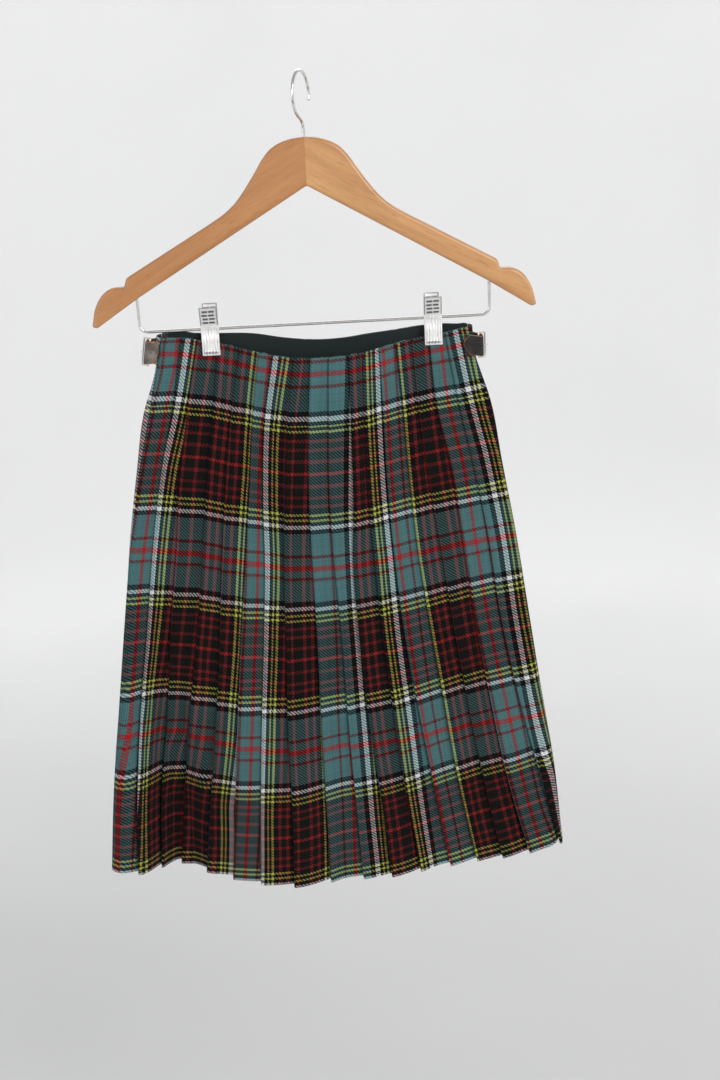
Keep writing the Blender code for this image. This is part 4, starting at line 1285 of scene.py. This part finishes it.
def makeClips():
    for label, x, top in clipForm["clips"]:
        for side, jaw in ((-1, "front_jaw"), (1, "back_jaw")):
            below = [x + dx for dx in (-8.0, -4.0, 0.0, 4.0, 8.0)]
            touching = clothReach(below, (top - 36.0, top - clipForm["tall"]), side)
            grip = touching + clipForm["gap"] + clipForm["sheet"] / 2
            makeJaw(f"clip_{label}_{jaw}_plate", f"clip_{label}_{jaw}", x, top, side, grip)
        makeSpring(f"clip_{label}_coil", f"clip_{label}_spring", x)
    print("clips: 4 jaws, 2 springs")


makeClips()


hipForm = {
    "hips": (
        {"name": "right", "edge": 167.1, "side": 1.0, "height": -269.6, "lean": -0.18, "splay": 0.0,
         "reach": 19.4, "point": 6.2, "half": 10.2},
        {"name": "left", "edge": -169.7, "side": -1.0, "height": -258.5, "lean": 0.05, "splay": 0.18,
         "reach": 14.0, "point": 4.2, "half": 11.2},
    ),
    "leather": 1.8,
    "gap": 0.3,
    "tipHalf": 2.2,
    "tab": {"short": 1.6, "top": 10.0, "bottom": -13.0, "loopTop": 8.6, "loopBottom": -10.2, "wrap": 2.2},
    "strap": {"reach": 31.0, "half": 12.6, "turn": 4.0, "sewn": (2.0, 14.0)},  # sewn: its box of stitches
    "buckle": {"wire": 1.0, "over": 2.3, "out": 3.2, "long": 9.5, "corner": 1.6},
    "prong": {"wire": 0.7, "path": ((1.9, 3.0), (2.4, 5.0), (4.9, 8.2), (5.1, 10.2))},
    "holes": {"first": 7.5, "step": 9.0, "radius": 1.15, "deep": 1.0},
    "crease": {"inset": 1.9, "half": 0.45, "deep": 0.16},
    "columns": 45,
    "stitch": {"start": 0.4, "long": 1.9, "gap": 1.0, "thick": 0.27, "inset": 2.6, "bow": 0.24},
}


def atHip(hip, x, y, down):
    # a hip's own places in the part's frame; a strap leans and splays with the side edge
    x, y, down = np.broadcast_arrays(np.asarray(x, float), np.asarray(y, float), np.asarray(down, float))
    z = hip["height"] + down + hip["lean"] * (x - hip["edge"])
    return np.column_stack([x + hip["splay"] * down, y, z])


def makeStrip(name, node, path, tops, bottoms, hip, material, holes=()):
    # a leather strip that stands on edge, from its path seen from above and its two edges' heights
    both = softened(spreadPoints(np.column_stack([path, tops, bottoms]), 0.5), 3)
    if hip["side"] < 0:
        both = both[::-1]
    walked = walkedAlong(both[:, :2])
    share = np.linspace(0.0, 1.0, hipForm["columns"])
    share = share + 0.035 * np.sin(2 * math.pi * share)
    downs = between((both[:, 2], both[:, 3]), share[:, None])
    rows = [atHip(hip, both[:, 0], both[:, 1], down) for down in downs]
    front, back = bothFaces(rows, hipForm["leather"] * 0.96)
    middle = (front + back) / 2
    outward = (front - back) / hipForm["leather"]
    # a pressed crease inside the edges, and punched holes
    crease, punched = hipForm["crease"], hipForm["holes"]
    inside = np.minimum(both[:, 2] - downs, downs - both[:, 3])
    dent = crease["deep"] * fadeOut(np.abs(inside - crease["inset"]), 0.1, crease["half"])
    for along in holes:
        far = np.hypot(walked[None, :] - (along if hip["side"] > 0 else walked[-1] - along), downs)
        dent = np.maximum(dent, punched["deep"] * fadeOut(far, punched["radius"] - 0.45, punched["radius"]))
    dent = outward * dent[:, :, None]
    front -= dent
    drawIn(front, back, [(part, thin) for rim, thin in ((0, 0.5), (1, 0.86), (-2, 0.86), (-1, 0.5))
                         for part in (np.s_[rim], np.s_[:, rim])], middle)
    mask = np.clip(1.15 - inside / 0.75, 0.0, 1.0)
    mask[:, [0, -1]] = 1.0
    mask[:, [1, -2]] = np.maximum(mask[:, [1, -2]], 0.7)
    standIn(closedShell(name, front, back, material, sharp=50.0, rimMask=mask), node)
    return front + dent, outward, walked, downs


def makeStitches(name, face, outward, lines, material):
    # short threads along lines of grid places on a leather face
    stitch = hipForm["stitch"]
    steps = np.linspace(0.0, 1.0, 6)
    bow = np.sin(math.pi * steps)
    points, faces = [], []
    for line in lines:
        grid = spreadPoints(line, 0.25)
        low = np.clip(np.floor(grid).astype(int), 0, np.array(face.shape[:2]) - 2)
        part = grid - low
        ground = np.zeros((len(grid), 6))  # the place and the way outwards
        for di in (0, 1):
            for dj in (0, 1):
                corner = low[:, 0] + di, low[:, 1] + dj
                weight = np.abs(1 - di - part[:, :1]) * np.abs(1 - dj - part[:, 1:])
                ground += np.column_stack([face[corner], outward[corner]]) * weight
        walked = walkedAlong(ground[:, :3])
        begin = stitch["start"]
        while begin + stitch["long"] < walked[-1]:
            centre, way = np.hsplit(readAt(begin + stitch["long"] * steps, walked, ground), 2)
            way = unit(way)
            centre = centre + way * (stitch["bow"] * (bow - 0.5))[:, None]
            run = unit(np.gradient(centre, axis=0))
            first = unit(np.cross(run, way))
            faces += gridFaces(6, 6, len(points)) + capFaces(6, 6, len(points))
            thick = stitch["thick"] * (0.35 + 0.65 * bow**0.5)
            for ring in zip(centre, thick, first, np.cross(first, run)):
                points += list(ringRound(*ring, 6))
            begin += stitch["long"] + stitch["gap"]
    linkMesh(name, points, faces, material, sharp=60.0)


def stitchBox(walked, downs, fromEdge, toEdge, hip):
    # a rectangle of stitches on a strip, between two distances from its sewn end
    inset = hipForm["stitch"]["inset"]
    ends = np.array([fromEdge, toEdge])
    columns = np.interp(walked[-1] - ends if hip["side"] > 0 else ends, walked, np.arange(len(walked)))
    tall = downs[:, int(columns.mean())]
    rows = np.interp(-np.array([tall[0] - inset, tall[-1] + inset]), -tall, np.arange(len(tall)))
    corners = [(rows[0], columns[0]), (rows[0], columns[1]), (rows[1], columns[1]), (rows[1], columns[0])]
    return [[corners[k], corners[(k + 1) % 4]] for k in range(4)]


def makeHip(hip):
    name, edge, side, height, point = (hip[key] for key in ("name", "edge", "side", "height", "point"))
    leather, gap, tab, strap, holes, buckle = (
        hipForm[key] for key in ("leather", "gap", "tab", "strap", "holes", "buckle"))
    tip = edge - side * hip["reach"]
    touching = clothReach([tip + side * dx for dx in np.arange(0.0, hip["reach"], 1.5)],
                          [height + dz for dz in (-12.0, 0.0, 12.0)], -1)
    tabY = -touching - gap - leather / 2
    hingeY = tabY + tab["wrap"]
    outerWrap = tab["wrap"] + leather + gap
    hingeX = edge - side * outerWrap

    def bend(x, y, radius, start, end, count):
        return [(x + side * dx, y + dy) for dx, dy in arcPoints((0.0, 0.0), radius, start, end, count)]

    path = [(tip + side * tab["short"], tabY), (hingeX - side * 3.0, tabY)]
    path += bend(hingeX, hingeY, tab["wrap"], -90.0, 75.0, 14)
    tops = [tab["top"]] + [tab["loopTop"]] * 15
    bottoms = [tab["bottom"]] + [tab["loopBottom"]] * 15
    makeStrip(f"hip_{name}_tabLeather", f"hip_{name}_tab", path, tops, bottoms, hip, tabLeathers[name])

    farX = edge - side * strap["reach"]
    touching = clothReach([farX + side * dx for dx in (0.0, 5.0, 10.0, 15.0, 20.0)],
                          [height + dz for dz in (-13.0, 0.0, 13.0)], 1)
    apronY = touching + gap + leather / 2
    path = [(tip + side * along, tabY - leather - gap) for along in (0.0, point * 0.5, point)]
    path += bend(hingeX, hingeY, outerWrap, -90.0, 0.0, 12)
    path += bend(edge - side * strap["turn"], apronY + 0.6 - strap["turn"], strap["turn"], 0.0, 80.0, 10)
    path += [(edge - side * 12.0, apronY), (edge - side * 19.0, apronY), (farX, apronY)]
    tipHalf, half = hipForm["tipHalf"], hip["half"]
    halves = [tipHalf, (tipHalf + half) / 2] + [half] * 23 + [strap["half"] - 1.0] + [strap["half"]] * 2
    halves = np.array(halves)
    face, outward, walked, downs = makeStrip(
        f"hip_{name}_strapLeather", f"hip_{name}_strap", path, halves, -halves, hip, strapLeathers[name],
        [holes["first"], holes["first"] + holes["step"]])
    box = stitchBox(walked, downs, *strap["sewn"], hip)
    makeStitches(f"hip_{name}_strapStitches", face, outward, box, darkThread)

    half = half + buckle["over"]
    corner = buckle["corner"]
    hinge = np.array([hingeX, hingeY])
    across = np.array([edge + side * buckle["out"], hingeY + buckle["long"]]) - hinge
    long = np.linalg.norm(across)
    near, far, low, high = corner, long - corner, corner - half, half - corner
    ring = np.concatenate([arcPoints(centre, corner, 180.0 + 90.0 * k, 270.0 + 90.0 * k, 8)
                           for k, centre in enumerate(((near, low), (far, low), (far, high), (near, high)))])
    ring = spreadPoints(ring, 0.9, closed=True)
    ground = hinge + across * (ring[:, :1] / long)
    ring = atHip(hip, ground[:, 0], ground[:, 1], ring[:, 1])
    loop = makeTube(f"hip_{name}_buckleLoop", ring, buckle["wire"], 16, buckleWire, closed=True)
    standIn(loop, f"hip_{name}_buckle_frame")
    prong = np.array([(edge + side * dx, hingeY + dy) for dx, dy in hipForm["prong"]["path"]])
    pin = makeTube(f"hip_{name}_bucklePin", smoothRun(atHip(hip, prong[:, 0], prong[:, 1], 0.0), 0.7),
                   hipForm["prong"]["wire"], 14, buckleWire)
    standIn(pin, f"hip_{name}_buckle_prong")


for hip in hipForm["hips"]:
    makeHip(hip)
print("hips: 2 tabs, 2 straps, 2 buckles")
